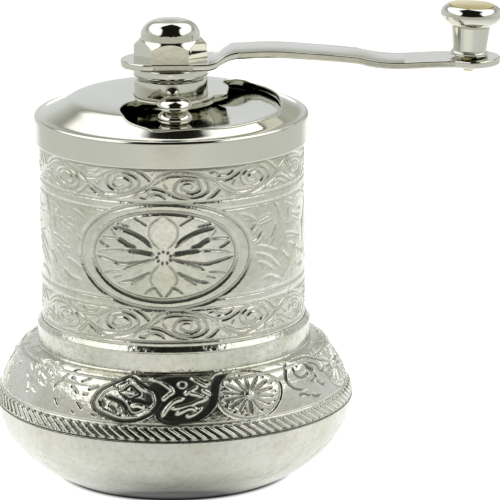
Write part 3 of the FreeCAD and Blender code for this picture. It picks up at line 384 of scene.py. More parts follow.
def turned_piece(name, skin, first, last, rest, body, node):
    """Ring turned from rows first to last of a skin; rest closes the section, in order. The cuts are painted
    dark at the front and the back and bright at the sides: painted shade for the dark gap that the front
    reflects."""
    columns = skin.columns
    turns = np.arange(columns) * skin.turn - math.pi / 2
    cosine, sine = np.cos(turns), np.sin(turns)
    push = skin.ridges - skin.cuts
    # Painted shade: the cuts darken most at the front and the back, least at the sides
    painted_shade = LEAST_PAINTED_SHADE + (1 - LEAST_PAINTED_SHADE) * np.sin(turns) ** 8
    darkness = np.clip(skin.shade * painted_shade - skin.ridges * 5, 0, 1)
    shell = skin.rows[first:last + 1]
    wide = shell[:, :1] + push[first:last + 1] * skin.out[first:last + 1, :1]
    high = shell[:, 1:] + push[first:last + 1] * skin.out[first:last + 1, 1:]
    dark = darkness[first:last + 1]
    for radius, height in rest:
        wide = np.vstack([wide, np.full(columns, radius)])
        high = np.vstack([high, np.full(columns, height)])
        dark = np.vstack([dark, np.zeros(columns)])
    pole = (wide == 0).all(axis=1)
    keep = np.ones(wide.shape, bool)
    keep[pole, 1:] = False
    number = np.cumsum(keep).reshape(wide.shape) - 1
    number[pole] = number[pole, :1]
    points = np.stack([wide * cosine, wide * sine, high], -1)[keep] * MM
    upper = np.roll(number, -1, axis=0)
    quads = np.stack([number, np.roll(number, -1, 1), np.roll(upper, -1, 1), upper], -1).reshape(-1, 4)
    faces = [list(dict.fromkeys(quad)) for quad in quads.tolist()]
    mesh = bpy.data.meshes.new(name)
    mesh.from_pydata(points.tolist(), [], [face for face in faces if len(face) > 2])
    smooth(mesh)
    mesh.set_sharp_from_angle(angle=math.radians(80))
    mesh.attributes.new("cut", "FLOAT", "POINT").data.foreach_set("value", dark[keep].astype(np.float32))
    attach(link_piece(name, mesh), body, "engraved_nickel", node)


# Ornament of the barrel. A stroke is its width, its depth and its points round the centre.

def vine(skin, centre, upright):
    """One curl of the running vine. Every second curl hangs, with upright -1."""
    strokes = (
        (0.85, 0.25, [(-7.3, 0.8), (-5.2, 2.2), (-3.7, 2.8), (-2.2, 3.0), (0, 2.7), (2.3, 2.0), (5.0, 0.8),
                      (7.0, -0.7)]),
        (0.75, 0.22, [(-7.2, 0.0), (-5.3, 1.2), (-3.4, 2.0), (-0.9, 2.0), (1.8, 1.6), (3.6, 0.8), (4.3, -0.4),
                      (3.9, -1.4), (2.6, -2.2), (0.4, -2.5), (-1.8, -1.9), (-2.7, -0.9), (-2.3, 0.4),
                      (-1.0, 1.15), (0.6, 1.1), (2.0, 0.6), (2.6, -0.3), (2.2, -1.1), (1.0, -1.6),
                      (-0.5, -1.3), (-1.3, -0.5), (-0.9, 0.3), (0.2, 0.5), (1.0, 0.0), (0.6, -0.6)]),
        (0.75, 0.2, [(-11.1, -2.6), (-10.2, -1.6), (-8.6, -0.9), (-7.0, -0.6), (-5.2, -0.9), (-3.6, -1.7),
                     (-1.5, -2.6), (0.9, -3.1)]),
        (0.65, 0.18, [(-8.8, -2.7), (-7.7, -2.0), (-6.4, -1.7), (-5.2, -2.1), (-4.4, -2.9)]),
        (0.75, 0.22, [(3.6, -3.2), (5.1, -2.4), (6.2, -1.4), (6.7, -0.8)]),
        (0.6, 0.16, [(-4.9, 0.4), (-4.2, -0.6)]),
        (0.6, 0.16, [(4.4, 2.4), (5.8, 2.7)]),
        (0.6, 0.16, [(6.0, 1.5), (7.3, 1.9)]))
    for width, depth, points in strokes:
        skin.line(centre, sweep(np.array(points) * [1, upright]), width * 1.1, depth * 1.45, 0.35)
    for lean in (-1, 0, 1):
        foot = (8.0 + 0.5 * lean, -3.1 * upright)
        skin.line(centre, [foot, (8.0 + 1.1 * lean, -2.2 * upright)], 0.5, 0.14, 0.15)


def medallion(skin, centre):
    """Oval medallion: a plain band round a rosette of overlapping pointed leaves."""
    wide, high, band_wide, band_high = 15.3, 9.1, 3.3, 1.85
    middle = (centre[0], centre[1] - 0.5)
    x, y = skin.local(middle)
    skin.clear(np.hypot(x / (wide + band_wide), y / (high + band_high)) < 1)
    turn = np.linspace(0, 2 * math.pi, 300)
    unit = np.stack([np.cos(turn), np.sin(turn)], 1)
    skin.line(middle, unit * [wide, high], 1.2, 0.42, 0.4, even=True)
    skin.line(middle, unit * [wide + band_wide, high + band_high], 1.15, 0.38, 0.4, even=True)
    strokes = (
        (1.05, 0.32, [(2.4, 1.5), (3.8, 2.9), (5.7, 4.0), (8.0, 4.8), (10.7, 5.2)]),
        (0.7, 0.2, [(6.8, 5.5), (8.2, 5.8), (10.0, 6.1)]),
        (0.55, 0.15, [(10.9, 5.0), (10.2, 4.0), (9.6, 3.2)]),
        (1.15, 0.34, [(5.5, 1.1), (7.2, 1.7), (8.5, 2.5), (9.6, 2.95)]),
        (0.7, 0.2, [(9.6, 2.95), (11.4, 2.95), (13.6, 2.8)]),
        (0.75, 0.22, [(11.2, 0.9), (12.5, 1.4), (13.8, 2.2)]),
        (1.05, 0.32, [(1.9, 0.0), (4.6, 0.4), (7.4, 0.65)]),
        (0.7, 0.2, [(7.4, 0.65), (10.2, 0.45), (13.9, -0.2)]),
        (0.8, 0.24, [(1.5, -0.8), (3.6, -1.5), (6.0, -1.9), (8.6, -2.2), (10.6, -1.9), (14.8, -1.0)]),
        (0.8, 0.24, [(2.2, -1.1), (5.0, -2.0), (8.4, -3.4)]),
        (0.75, 0.22, [(2.4, -3.6), (4.8, -4.8), (7.0, -5.7), (9.3, -6.1)]),
        (0.65, 0.18, [(4.0, -4.7), (6.7, -6.4)]),
        (0.6, 0.14, [(9.0, -3.8), (11.4, -4.0), (12.8, -4.4)]),
        (0.6, 0.14, [(8.6, -4.6), (10.6, -5.2)]),
        (0.6, 0.12, [(0.8, 1.2), (2.3, 2.7), (2.95, 4.5), (2.4, 6.3), (0.2, 8.0)]),
        (0.6, 0.12, [(0.8, -2.0), (2.2, -3.6), (2.7, -5.2), (2.0, -6.8)]),
        (0.65, 0.18, [(3.2, 5.9), (4.9, 6.9), (6.1, 7.5)]),
        (0.65, 0.18, [(0.1, -9.0), (1.1, -7.9), (2.0, -6.9), (4.0, -8.2)]))
    for width, depth, points in strokes:
        for hand in (1, -1):
            skin.line(centre, sweep(np.array(points) * [hand, 1]), width, depth * 1.2, depth * 3.2)
    dots = 9
    for number in range(dots):
        angle = 2 * math.pi * (number + 0.4) / dots
        dot = np.array([0.1 + 1.35 * math.cos(angle), -0.6 + 1.15 * math.sin(angle)])
        skin.line(centre, [dot, dot * 1.1], 0.7, 0.22, 1.0, even=True)


def leaf_spray(skin, centre):
    """Filling between two medallions: slanted leaves round an empty pointed heart."""
    strokes = (
        [(0.1, 8.9), (2.0, 8.1), (4.0, 7.2)], [(7.6, 8.7), (9.6, 8.2), (11.4, 7.2)],
        [(3.5, 4.9), (5.2, 4.2), (7.1, 3.4)], [(6.1, 5.3), (8.2, 4.7)],
        [(0.6, 1.0), (3.8, 0.4), (7.4, -0.9)], [(-0.4, -2.5), (0.8, -3.4), (2.0, -4.6)],
        [(5.9, -3.1), (8.6, -3.9), (10.2, -5.0)], [(4.4, -5.4), (6.6, -6.6), (9.6, -7.0)],
        [(2.0, 6.4), (1.2, 4.4), (1.6, 2.4)], [(9.0, 2.4), (9.9, 0.4), (9.7, -1.8)],
        [(-12.3, 7.2), (-10.1, 6.5), (-8.2, 5.3)], [(-9.9, 3.7), (-8.6, 4.8)], [(-8.2, 5.3), (-4.4, 6.0)],
        [(-5.7, 0.4), (-3.9, 1.7), (-2.4, 3.9)], [(2.1, -1.2), (4.8, -2.4)],
        [(-7.9, 0.0), (-5.2, -0.8), (-2.2, -2.2)], [(-8.5, -1.4), (-4.8, -2.8), (-1.4, -5.6)],
        [(-7.8, -3.3), (-5.6, -4.2), (-3.6, -5.6)], [(-6.5, -7.0), (-4.2, -6.9), (-1.3, -8.2)],
        [(-3.2, 8.6), (-1.8, 7.0), (-1.3, 5.2)], [(-9.4, 1.4), (-8.0, 1.9), (-6.8, 3.2)])
    for points in strokes:
        line = sweep(points)
        skin.line(centre, line, 0.85, 0.24, 0.12)
        skin.line(centre, line * [0.94, 0.94] + [0.3, -0.75], 0.5, 0.12, 0.08)


BARREL_RADIUS, BARREL_INNER, BARREL_LOW, BARREL_TOP = 27.1, 26.0, 29.6, 74.2
BARREL_ROWS, BARREL_COLUMNS = 301, 1240
CURLS, FIRST_CURL, UPPER_CURLS, LOWER_CURLS, LOWER_CURL_SHIFT = 12, 7.6, 66.75, 37.9, -1.0
MEDALLIONS, FIRST_MEDALLION, MEDALLION_HEIGHT = 3, -3.1, 52.6
BORDER_LINES = (63.25, 61.2, 42.95, 41.1)
# The line at the top sits just under the cap's rim; its dark is a painted shadow of the cap
LOWEST_LINE, CAP_SHADOW_LINE = 34.35, 70.0
BARREL_PIECES = {"barrel_low": (0, 0.252), "barrel_field": (0.252, 0.5),
                 "barrel_upper": (0.5, 0.748), "barrel_high": (0.748, 1)}


def dress_barrel():
    """The barrel in four rings, each fine enough for its engraving."""
    skin = Skin([(BARREL_RADIUS, BARREL_LOW), (BARREL_RADIUS, BARREL_TOP)], BARREL_ROWS, BARREL_COLUMNS)
    for number in range(MEDALLIONS):
        leaf_spray(skin, (FIRST_MEDALLION + 360 / MEDALLIONS * (number + 0.5), MEDALLION_HEIGHT))
    for height in BORDER_LINES:
        skin.ring(height, 0.85, 0.24, 0.2)
    for number in range(CURLS):
        turn = FIRST_CURL + 360 / CURLS * number
        upright = -1 if number % 2 else 1
        vine(skin, (turn, UPPER_CURLS), upright)
        vine(skin, (turn + LOWER_CURL_SHIFT, LOWER_CURLS), upright)
    for number in range(MEDALLIONS):
        medallion(skin, (FIRST_MEDALLION + 360 / MEDALLIONS * number, MEDALLION_HEIGHT))
    skin.ring(LOWEST_LINE, 0.7, 0.24, 0.5)
    # Groove under the cap, painted dark as the cap's shadow
    skin.ring(CAP_SHADOW_LINE, 0.8, 0.24, 0.8)
    for name, shares in BARREL_PIECES.items():
        first, last = (int((BARREL_ROWS - 1) * share) for share in shares)
        inner = [(BARREL_INNER, skin.rows[last, 1]), (BARREL_INNER, skin.rows[first, 1])]
        turned_piece(name, skin, first, last, inner, "mill", "hopper_barrel")


# Cap. Its top and the plate's are radius and height, the slot's outline is radius and angle.

CAP_RADIUS, CAP_LOW, CAP_INSIDE, CAP_WALL = 28.1, 70.25, 27.15, 1.0
CAP_EDGE, CAP_BORE, BORE_TOP, BORE_LOW = 75.1, 6.2, 79.1, 77.6
LIP_SIZE, LIP_OUT, LIP_SINK = 0.2, 0.16, 0.06
CUT_LOW, CUT_HIGH = 72.0, 84.0
CAP_TOP = [(7.7, 79.1), (7.7, 79.4), (11.0, 79.4), (15.0, 79.36), (18.0, 79.22), (20.0, 79.02),
           (21.2, 78.62), (22.4, 78.0), (24.2, 77.12), (26.2, 76.14)]
SLOT = [(9.0, -140), (12.6, -136), (16.6, -127.5), (19.7, -118.5), (21.8, -112), (23.2, -102), (23.9, -92),
        (24.0, -60), (23.9, -30), (22.9, -13), (22.2, 0), (22.0, 14), (21.8, 27), (21.6, 36), (20.8, 43.5),
        (19.0, 48.5), (17.0, 49.5), (15.2, 46)]


def slot_edge():
    """Outline of the cap's filler slot, seen from above."""
    def at(radius, angle):
        return radius * math.cos(math.radians(angle)), radius * math.sin(math.radians(angle))
    outline = list(sweep([at(*corner) for corner in SLOT], 8))
    outline += list(sweep([at(15.2, 46), at(13.5, 30), at(11.5, 2)], 8))[1:]
    outline += list(sweep([at(11.5, 2), at(10.4, -5), at(9.0, -12)], 6))[1:]
    outline += [at(9.0, angle) for angle in np.linspace(-12, -140, 40)][1:-1]
    return outline


def prism(name, outline, low, high):
    """Upright prism, for a nut or for cutting a hole."""
    count = len(outline)
    points = [(x * MM, y * MM, height * MM) for height in (low, high) for x, y in outline]
    sides = [[k, (k + 1) % count, count + (k + 1) % count, count + k] for k in range(count)]
    mesh = bpy.data.meshes.new(name)
    mesh.from_pydata(points, [], sides + [list(range(count))[::-1], list(range(count, 2 * count))])
    return link_piece(name, mesh)


def revolved(name, section, columns):
    """Closed mesh from a section that runs from the top outwards and back underneath. A point of the
    section on the axis becomes one point of the mesh."""
    points, rows = [], []
    for radius, height in section:
        first = len(points)
        turns = full_turn(columns) if radius else [0]
        points += [(radius * math.cos(t) * MM, radius * math.sin(t) * MM, height * MM) for t in turns]
        rows.append([first + k % len(turns) for k in range(columns + 1)])
    faces = []
    for here, after in zip(rows, rows[1:] + rows[:1]):
        for k in range(columns):
            face = list(dict.fromkeys([here[k], after[k], after[k + 1], here[k + 1]]))
            if len(face) > 2:
                faces.append(face)
    mesh = bpy.data.meshes.new(name)
    mesh.from_pydata(points, [], faces)
    return link_piece(name, mesh)


def cut_and_ease(piece, cutter, edge):
    """Cut a hole in a piece and round its edges."""
    cut = piece.modifiers.new("hole", "BOOLEAN")
    cut.operation, cut.solver, cut.object = "DIFFERENCE", "EXACT", cutter
    lip = piece.modifiers.new("edge", "BEVEL")
    lip.limit_method, lip.angle_limit, lip.width, lip.segments = "ANGLE", math.radians(55), edge * MM, 3
    lip.use_clamp_overlap = True
    settle(piece)
    bpy.data.objects.remove(cutter)


def polish(piece, body, node, sharp=40):
    """Smooth shading, nickel, and the node that the piece stands for."""
    smooth(piece.data)
    piece.data.set_sharp_from_angle(angle=math.radians(sharp))
    attach(piece, body, "polished_nickel", node)


def cap_height(radius):
    """Height of the cap's top at a radius, in mm."""
    line = np.array(sweep(CAP_TOP[1:], 5))
    return np.interp(radius, line[:, 0], line[:, 1])


def slot_lip():
    """Turned-up edge round the slot: a thin bead along its outline."""
    outline = np.array(slot_edge())
    ahead = np.roll(outline, -1, axis=0) - np.roll(outline, 1, axis=0)
    ahead /= np.linalg.norm(ahead, axis=1)[:, None]
    outward = np.stack([ahead[:, 1], -ahead[:, 0]], 1)
    height = cap_height(np.hypot(*outline.T)) - LIP_SINK
    points = np.column_stack([outline + outward * LIP_OUT, height]) * MM
    count = len(points)
    mesh = bpy.data.meshes.new("slot_lip")
    mesh.from_pydata(points.tolist(), [(k, (k + 1) % count) for k in range(count)], [])
    lip = link_piece("slot_lip", mesh)
    pattern = Pattern("bead_along_outline", {"Bead radius": "NodeSocketFloat", "Sides": "NodeSocketInt"})
    path = pattern.node("GeometryNodeMeshToCurve", sockets={"Mesh": pattern.input("Geometry")})
    bead = pattern.node("GeometryNodeCurvePrimitiveCircle", sockets={
        "Resolution": pattern.input("Sides"), "Radius": pattern.input("Bead radius")})
    tube = pattern.node("GeometryNodeCurveToMesh", sockets={"Curve": path, "Profile Curve": bead})
    pattern.grow(lip, tube, FINISHES["polished_nickel"], {"Bead radius": LIP_SIZE * MM, "Sides": 10})
    attach(lip, "mill", "polished_nickel")


def cap_section():
    """Section of the cap, from the flat round the bush out to the rim and back underneath."""
    top = CAP_TOP[:1] + [tuple(point) for point in sweep(CAP_TOP[1:], 5)]
    rim = [(26.6, 75.98), (27.1, 75.92), (27.5, 75.84)]
    rim += arc((27.5, 75.84), (27.93, 75.62), (CAP_RADIUS, CAP_EDGE), 8)
    skirt = [(CAP_RADIUS, height) for height in (75.0, 74.8, CAP_LOW + 0.8, CAP_LOW + 0.6, CAP_LOW + 0.5)]
    skirt += arc(skirt[-1], (28.0, 70.38), (27.75, CAP_LOW), 6)
    inside = [(CAP_INSIDE, CAP_LOW), (CAP_INSIDE, BARREL_TOP), (25.95, BARREL_TOP)]
    inside += [(radius, height - CAP_WALL) for radius, height in CAP_TOP[:1:-1] if radius < 26]
    return top + rim + skirt + inside + [(CAP_BORE, BORE_LOW), (CAP_BORE, BORE_TOP)]


def build_cap():
    """The cap: a shallow dome with a conical shoulder, a lip and a straight skirt, cut by the slot."""
    cap = revolved("cap_dome", cap_section(), 288)
    cut_and_ease(cap, prism("slot_cutter", slot_edge(), CUT_LOW, CUT_HIGH), 0.22)
    polish(cap, "mill", "top_cap")


WINDOW_INNER, WINDOW_OUTER, WINDOW_START, WINDOW_END = 12.6, 21.4, 42, 78
PLATE_TOP = [(5.25, 77.31), (8.3, 77.31), (9.2, 77.0), (10.4, 76.6), (12.8, 76.4), (15.0, 76.4),
             (18.0, 76.55), (20.4, 76.75), (22.2, 76.85), (23.1, 76.5), (24.0, 76.0), (24.6, 75.5)]
PLATE_THICKNESS = 0.65


def shutter_plate():
    """The turning plate under the cap, with the window that the spice goes through."""
    under = [(radius, height - PLATE_THICKNESS) for radius, height in PLATE_TOP[::-1]]
    plate = revolved("shutter_plate", PLATE_TOP + under, 192)
    angles = np.radians(np.linspace(WINDOW_START, WINDOW_END, 12))
    outline = [(WINDOW_OUTER * math.cos(t), WINDOW_OUTER * math.sin(t)) for t in angles]
    outline += [(WINDOW_INNER * math.cos(t), WINDOW_INNER * math.sin(t)) for t in angles[::-1]]
    cut_and_ease(plate, prism("window_cutter", outline, CUT_LOW, CUT_HIGH), 0.1)
    polish(plate, "shutter", "filler_shutter")


FINIAL_PLACE, FINIAL_ANGLE, FINIAL_FOOT, FINIAL_LEAN = 12.8, -86.0, 76.15, 4.0
STEM_RADIUS, STEM_LOW, STEM_HIGH = 1.2, -2.4, -0.1
BEAD_RADIUS, LOWER_BEAD, UPPER_BEAD = 3.6, 1.35, 3.98
NUT_CORNER, NUT_LOW, NUT_HIGH = 2.6, 73.9, 75.3


def finial():
    """The shutter's handle, two flattened balls one on the other, and the nut under the plate."""
    section = [(0, STEM_LOW), (STEM_RADIUS, STEM_LOW), (STEM_RADIUS, STEM_HIGH), (1.6, STEM_HIGH)]
    for middle, high, last in ((LOWER_BEAD, 1.5, 62), (UPPER_BEAD, 1.42, 90)):
        for turn in np.radians(np.linspace(-62, last, 20)):
            section.append((BEAD_RADIUS * math.cos(turn), middle + high * math.sin(turn)))
    section[-1] = (0, section[-1][1])
    beads = revolved("finial_beads", section[::-1], 96)
    around = math.radians(FINIAL_ANGLE)
    foot = Vector((FINIAL_PLACE * math.cos(around), FINIAL_PLACE * math.sin(around), FINIAL_FOOT))
    lean = Matrix.Rotation(math.radians(FINIAL_LEAN), 4, Vector((-math.sin(around), math.cos(around), 0)))
    beads.data.transform(Matrix.Translation(foot * MM) @ lean)
    polish(beads, "shutter", "shutter_finial", 70)
    corners = [(foot.x + NUT_CORNER * math.cos(t), foot.y + NUT_CORNER * math.sin(t)) for t in full_turn(6)]
    nut = prism("stem_nut", corners, NUT_LOW, NUT_HIGH)
    attach(nut, "shutter", "bright_steel", "finial_nut")


# Ornament of the belly

HOUSING_LOW, HOUSING_RISE, HOUSING_RADIUS = 16.15, 12.55, 36.8
HOUSING_ROWS, HOUSING_COLUMNS = 150, 1480
RECESS_RADIUS, RECESS_TOP = 34.1, 19.2
INSET = (2.6, 0.6)
ROPE_TOP, FRIEZE_TOP, WALL_TOP = 19.85, 24.6, (26.4, 27.3)
COLLAR_RADIUS, COLLAR_LOW, COLLAR_LIP, COLLAR_SLOPE, COLLAR_TOP = 28.0, 28.15, 32.1, 33.25, 33.45
COLLAR_ROWS, COLLAR_COLUMNS = 90, 720
SEAT_RADIUS, SEAT_HEIGHT, CHUTE_RADIUS, CHUTE_LOW = 27.15, 29.6, 24.2, 27.4
ROPE_LOW, ROPE_HIGH, ROPE_STRANDS = 16.72, 18.98, 110
STRAND_THICK, STRAND_WIDE = 0.26, 0.4


def rope_slant(t):
    """Sideways place of a strand in mm, for t from -1 at its foot to 1 at its head."""
    return -1.45 * t - 0.35 * t * abs(t)


def rope_grooves(skin):
    """Slanted cuts between the strands of the rope border."""
    middle = (ROPE_LOW + ROPE_HIGH) / 2
    half = (skin.at_height(ROPE_HIGH) - skin.at_height(ROPE_LOW)) / 2
    t = np.linspace(-1, 1, 14)
    bend = np.stack([rope_slant(t), half * t], 1)
    for number in range(ROPE_STRANDS):
        skin.line((360 * number / ROPE_STRANDS, middle), bend, 1.15, 0.42, 1.3)


def rope_strands(skin):
    """Raised strands of the rope border, one between each two cuts."""
    steps, sides = 14, 8
    rings = []
    for t in np.linspace(-1, 1, steps):
        height = (ROPE_LOW + ROPE_HIGH) / 2 + t * (ROPE_HIGH - ROPE_LOW) / 2 * 0.96
        radius = np.interp(height, skin.rows[:, 1], skin.rows[:, 0]) - HOUSING_RADIUS
        swell = math.sqrt(max(1 - t ** 4, 0.02))
        for turn in full_turn(sides):
            out, along = STRAND_THICK * swell * math.sin(turn), STRAND_WIDE * swell * math.cos(turn)
            rings.append((radius + out - 0.02, rope_slant(t) + along, height + along * 0.45))
    faces = [list(range(sides))[::-1]]
    for here in range(0, (steps - 1) * sides, sides):
        for k in range(sides):
            side = (k + 1) % sides
            faces.append([here + k, here + side, here + sides + side, here + sides + k])
    faces.append(list(range((steps - 1) * sides, steps * sides)))
    mesh = bpy.data.meshes.new("rope_strands")
    mesh.from_pydata((np.array(rings) * MM).tolist(), [], faces)
    rope = link_piece("rope_strands", mesh)
    pattern = Pattern("strands_in_a_ring", {
        "Strands": "NodeSocketInt", "Ring radius": "NodeSocketFloat", "First turn": "NodeSocketFloat"})
    ring = pattern.node("GeometryNodeMeshCircle", {"fill_type": "NONE"}, {
        "Vertices": pattern.input("Strands"), "Radius": pattern.input("Ring radius")})
    start = pattern.node("ShaderNodeCombineXYZ", sockets={"Z": pattern.input("First turn")})
    turned = pattern.node("GeometryNodeTransform", sockets={"Geometry": ring, "Rotation": start})
    step = pattern.input("Strands").work("DIVIDE", 2 * math.pi, pattern.input("Strands"))
    turn = pattern.node("GeometryNodeInputIndex") * step + pattern.input("First turn")
    facing = pattern.node("ShaderNodeCombineXYZ", sockets={"Z": turn})
    placed = pattern.node("GeometryNodeInstanceOnPoints", sockets={
        "Points": turned, "Instance": pattern.input("Geometry"), "Rotation": facing})
    pattern.grow(rope, placed, FINISHES["engraved_nickel"], {
        "Strands": ROPE_STRANDS, "Ring radius": HOUSING_RADIUS * MM,
        "First turn": math.pi / ROPE_STRANDS - math.pi / 2})
    attach(rope, "mill", "engraved_nickel")


def carve(skin, centre, strokes, width, depth, shade):
    """Cut curved lines of one width and depth."""
    for points in strokes:
        skin.line(centre, sweep(points), width, depth, shade)


def raise_up(skin, centre, strokes, width=1.15, height=0.42):
    """Curved lines that stand up from the ground."""
    for points in strokes:
        skin.line(centre, sweep(points), width, height, raised=True)


def cartouche(skin, centre):
    """Lemon-shaped frame with a leafy spray in it."""
    frame_line = [(-7.1, -1.4), (-6.7, -0.3), (-5.8, 1.2), (-4.0, 2.4), (-1.6, 3.8), (0.3, 5.1), (2.0, 3.9),
                  (4.2, 2.5), (6.0, 1.8), (6.8, 0.6), (7.1, -0.7), (6.2, -2.2), (4.4, -3.5), (2.4, -4.3),
                  (-0.6, -4.6), (-4.2, -3.7), (-6.3, -2.7), (-7.1, -1.4)]
    skin.line(centre, sweep(frame_line), 1.0, 0.36, 1.5, even=True)
    skin.line(centre, sweep(np.array(frame_line) * 0.83), 0.8, 0.22, raised=True, even=True)
    carve(skin, centre, (
        [(-1.5, 1.2), (-0.4, 2.0), (0.6, 2.8), (1.8, 2.0), (2.8, 1.1), (1.8, 0.5), (0.8, 0.0), (-0.5, 0.6),
         (-1.5, 1.2)],
        [(-2.9, 2.4), (-1.4, 3.0), (-0.3, 3.7)], [(4.0, 1.9), (4.9, 1.4), (5.5, 0.7)]), 0.8, 0.3, 1.5)
    carve(skin, centre, (
        [(-4.2, 0.2), (-2.6, -0.2), (-0.9, -0.8), (0.1, -1.7), (0.6, -2.7)],
        [(1.0, -0.4), (2.6, -0.2), (4.2, -0.6), (6.0, -0.5)]), 1.25, 0.4, 1.8)
    carve(skin, centre, (
        [(0.5, -1.9), (1.4, -3.0), (2.6, -3.2), (3.8, -2.6), (5.2, -2.0)],
        [(-3.2, -1.6), (-2.2, -2.2), (-1.6, -3.2)],
        [(-5.2, -0.6), (-4.6, -1.2), (-4.4, -2.0)]), 0.8, 0.3, 1.3)
    raise_up(skin, centre, ([(1.4, -1.5), (2.6, -1.3), (4.0, -1.6)], [(-0.2, 1.4), (1.5, 1.3)]), 0.7, 0.3)


def leaf_scroll(skin, centre):
    """Pair of spiky curling leaves on sunken oval ground, closed by a crescent on the right."""
    x, y = skin.local(centre)
    wide, high, edge = 7.2, 5.4, 0.5
    past_edge = (np.hypot((x + 0.2) / wide, (y - 0.2) / high) - 1) * high
    skin.sink(np.clip(0.5 - past_edge / edge, 0, 1), 0.26, 1.0)
    raise_up(skin, centre, (
        [(-6.0, 4.3), (-4.8, 4.2), (-3.9, 3.7), (-2.6, 2.7), (-1.4, 1.6)],
        [(-3.8, -0.2), (-2.8, 0.7), (-1.9, 1.3), (-1.4, 1.6)],
        [(2.0, 5.0), (3.5, 3.6), (5.4, 2.3)], [(3.4, 2.6), (2.3, 1.9), (1.2, 1.4), (0.9, 0.8)],
        [(1.6, 1.3), (3.5, 0.7), (5.4, -0.1)],
        [(5.4, -0.2), (3.5, -0.6), (1.8, -1.3), (0.0, -1.7), (-2.2, -2.0)],
        [(0.6, 0.1), (-1.0, -0.3), (-2.1, -1.0), (-3.4, -2.6), (-4.0, -3.7)],
        [(-1.2, -3.2), (0.4, -2.4), (1.8, -2.0), (3.4, -2.4)], [(0.9, -3.6), (2.6, -3.2), (4.2, -2.0)],
        [(3.2, 4.6), (4.6, 3.6), (5.9, 2.9)], [(4.4, 1.6), (5.2, 1.2), (6.1, 0.6)]))
    eye = [(0.3 + 0.85 * math.cos(t), 3.1 + 0.8 * math.sin(t)) for t in np.linspace(0, 2 * math.pi, 24)]
    skin.line(centre, eye, 0.6, 0.32, raised=True, even=True)
    carve(skin, centre, (
        [(-2.4, -4.3), (-0.7, -4.0), (0.7, -3.2), (2.8, -2.9)],
        [(-4.2, -3.0), (-5.0, -3.9), (-3.2, -4.9), (0, -5.1)]), 0.85, 0.3, 1.5)
    crescent = sweep([(9.4, 5.7), (8.0, 4.6), (7.1, 2.6), (6.8, 0.6), (6.3, -1.3), (5.0, -2.8),
                      (3.2, -4.0), (1.2, -4.8)])
    for shift in (-0.5, 0.0, 0.5):
        skin.line(centre, crescent + [shift, 0], 1.2, 0.46, 2.0)


def ring_rosette(skin, centre):
    """Many-petalled rosette inside a round frame."""
    frame_line = [(-3.4, 5.3), (-5.6, 3.1), (-6.9, 0.8), (-7.0, -1.6), (-5.8, -3.6), (-3.4, -4.8),
                  (-1.0, -5.3), (1.4, -5.1), (3.8, -4.5), (6.1, -2.8), (7.3, -0.9), (7.3, 1.0),
                  (5.2, 2.9), (2.8, 4.3), (0.0, 5.3), (-3.4, 5.3)]
    skin.line(centre, sweep(frame_line), 0.9, 0.28, 0.7, even=True)
    middle = np.array([-0.4, -0.4])
    petals = 14
    for number in range(petals):
        angle = 2 * math.pi * (number + 0.35) / petals
        ray = np.array([6.1 * math.cos(angle), 4.1 * math.sin(angle)])
        skin.line(centre, [middle + ray * 0.22, middle + ray * 0.96], 0.8, 0.34, 1.0)
        half = 2 * math.pi * (number + 0.85) / petals
        tip = middle + np.array([6.0 * math.cos(half), 4.2 * math.sin(half)])
        skin.line(centre, [tip * 0.97, tip * 1.03], 0.7, 0.2, 0.3, even=True)
    skin.line(centre, [middle, middle + 0.1], 1.3, 0.3, raised=True, even=True)


def boss_scroll(skin, centre):
    """Scrolling leaf curled round a smooth boss, with a tail."""
    carve(skin, centre, (
        [(-1.2, 4.0), (0.7, 4.1), (3.8, 3.8), (6.0, 2.8), (8.4, 1.6), (10.4, 0.8)],
        [(3.3, 2.6), (4.8, 1.9), (5.9, 1.1), (6.4, -0.2), (7.6, -0.6), (9.0, -0.2)],
        [(-2.4, 4.2), (-4.0, 2.6), (-5.2, 0.6), (-4.8, -0.9), (-3.4, -2.0), (-1.0, -2.6)],
        [(-2.0, 2.6), (-2.1, 1.2), (-1.0, 0.1), (0.8, 0.0), (2.0, 0.6)],
        [(0.1, -4.0), (1.3, -4.6), (2.8, -4.8)], [(9.3, -2.9), (10.6, -2.4), (11.3, -1.4)],
        [(-3.6, -3.4), (-1.8, -3.4), (-0.6, -4.2)], [(3.4, -1.6), (4.6, -2.8), (6.2, -3.2)],
        [(1.4, -1.4), (2.8, -1.4), (4.2, -0.6)]), 0.85, 0.36, 3.2)
    carve(skin, centre, ([(2.0, 2.1), (2.9, 1.3), (3.8, 0.5)],), 1.5, 0.42, 5.0)
    skin.line(centre, [(0.2, 1.8), (0.5, 1.9)], 2.9, 0.4, raised=True, even=True)


def crossed_flower(skin, centre):
    """Four pointed petals crossing at the middle."""
    carve(skin, centre, (
        [(-2.1, 0.4), (-1.9, 1.8), (-0.8, 3.2), (0.9, 3.5), (2.4, 3.0), (3.4, 2.2), (5.2, 1.0)],
        [(-4.6, 1.4), (-3.6, 0.7), (-2.6, 0.3)], [(-4.4, -0.8), (-3.2, -1.2), (-2.0, -0.9)],
        [(-1.0, 1.2), (-0.8, 2.2), (-0.4, 3.0)], [(2.6, 1.6), (3.8, 1.1), (4.9, 0.4)],
        [(2.0, 3.9), (4.2, 3.2), (6.1, 2.1)], [(0.8, -1.0), (2.4, -1.5), (4.0, -1.6)],
        [(-0.6, -2.8), (0.8, -3.4), (2.2, -3.5)], [(-2.6, -2.0), (-1.6, -3.2), (-1.4, -4.4)],
        [(0.2, 0.8), (1.6, 0.2), (3.0, -0.2)]), 0.8, 0.28, 0.6)
    skin.line(centre, [(-0.9, -0.2), (-0.7, -0.2)], 1.8, 0.2, raised=True, even=True)


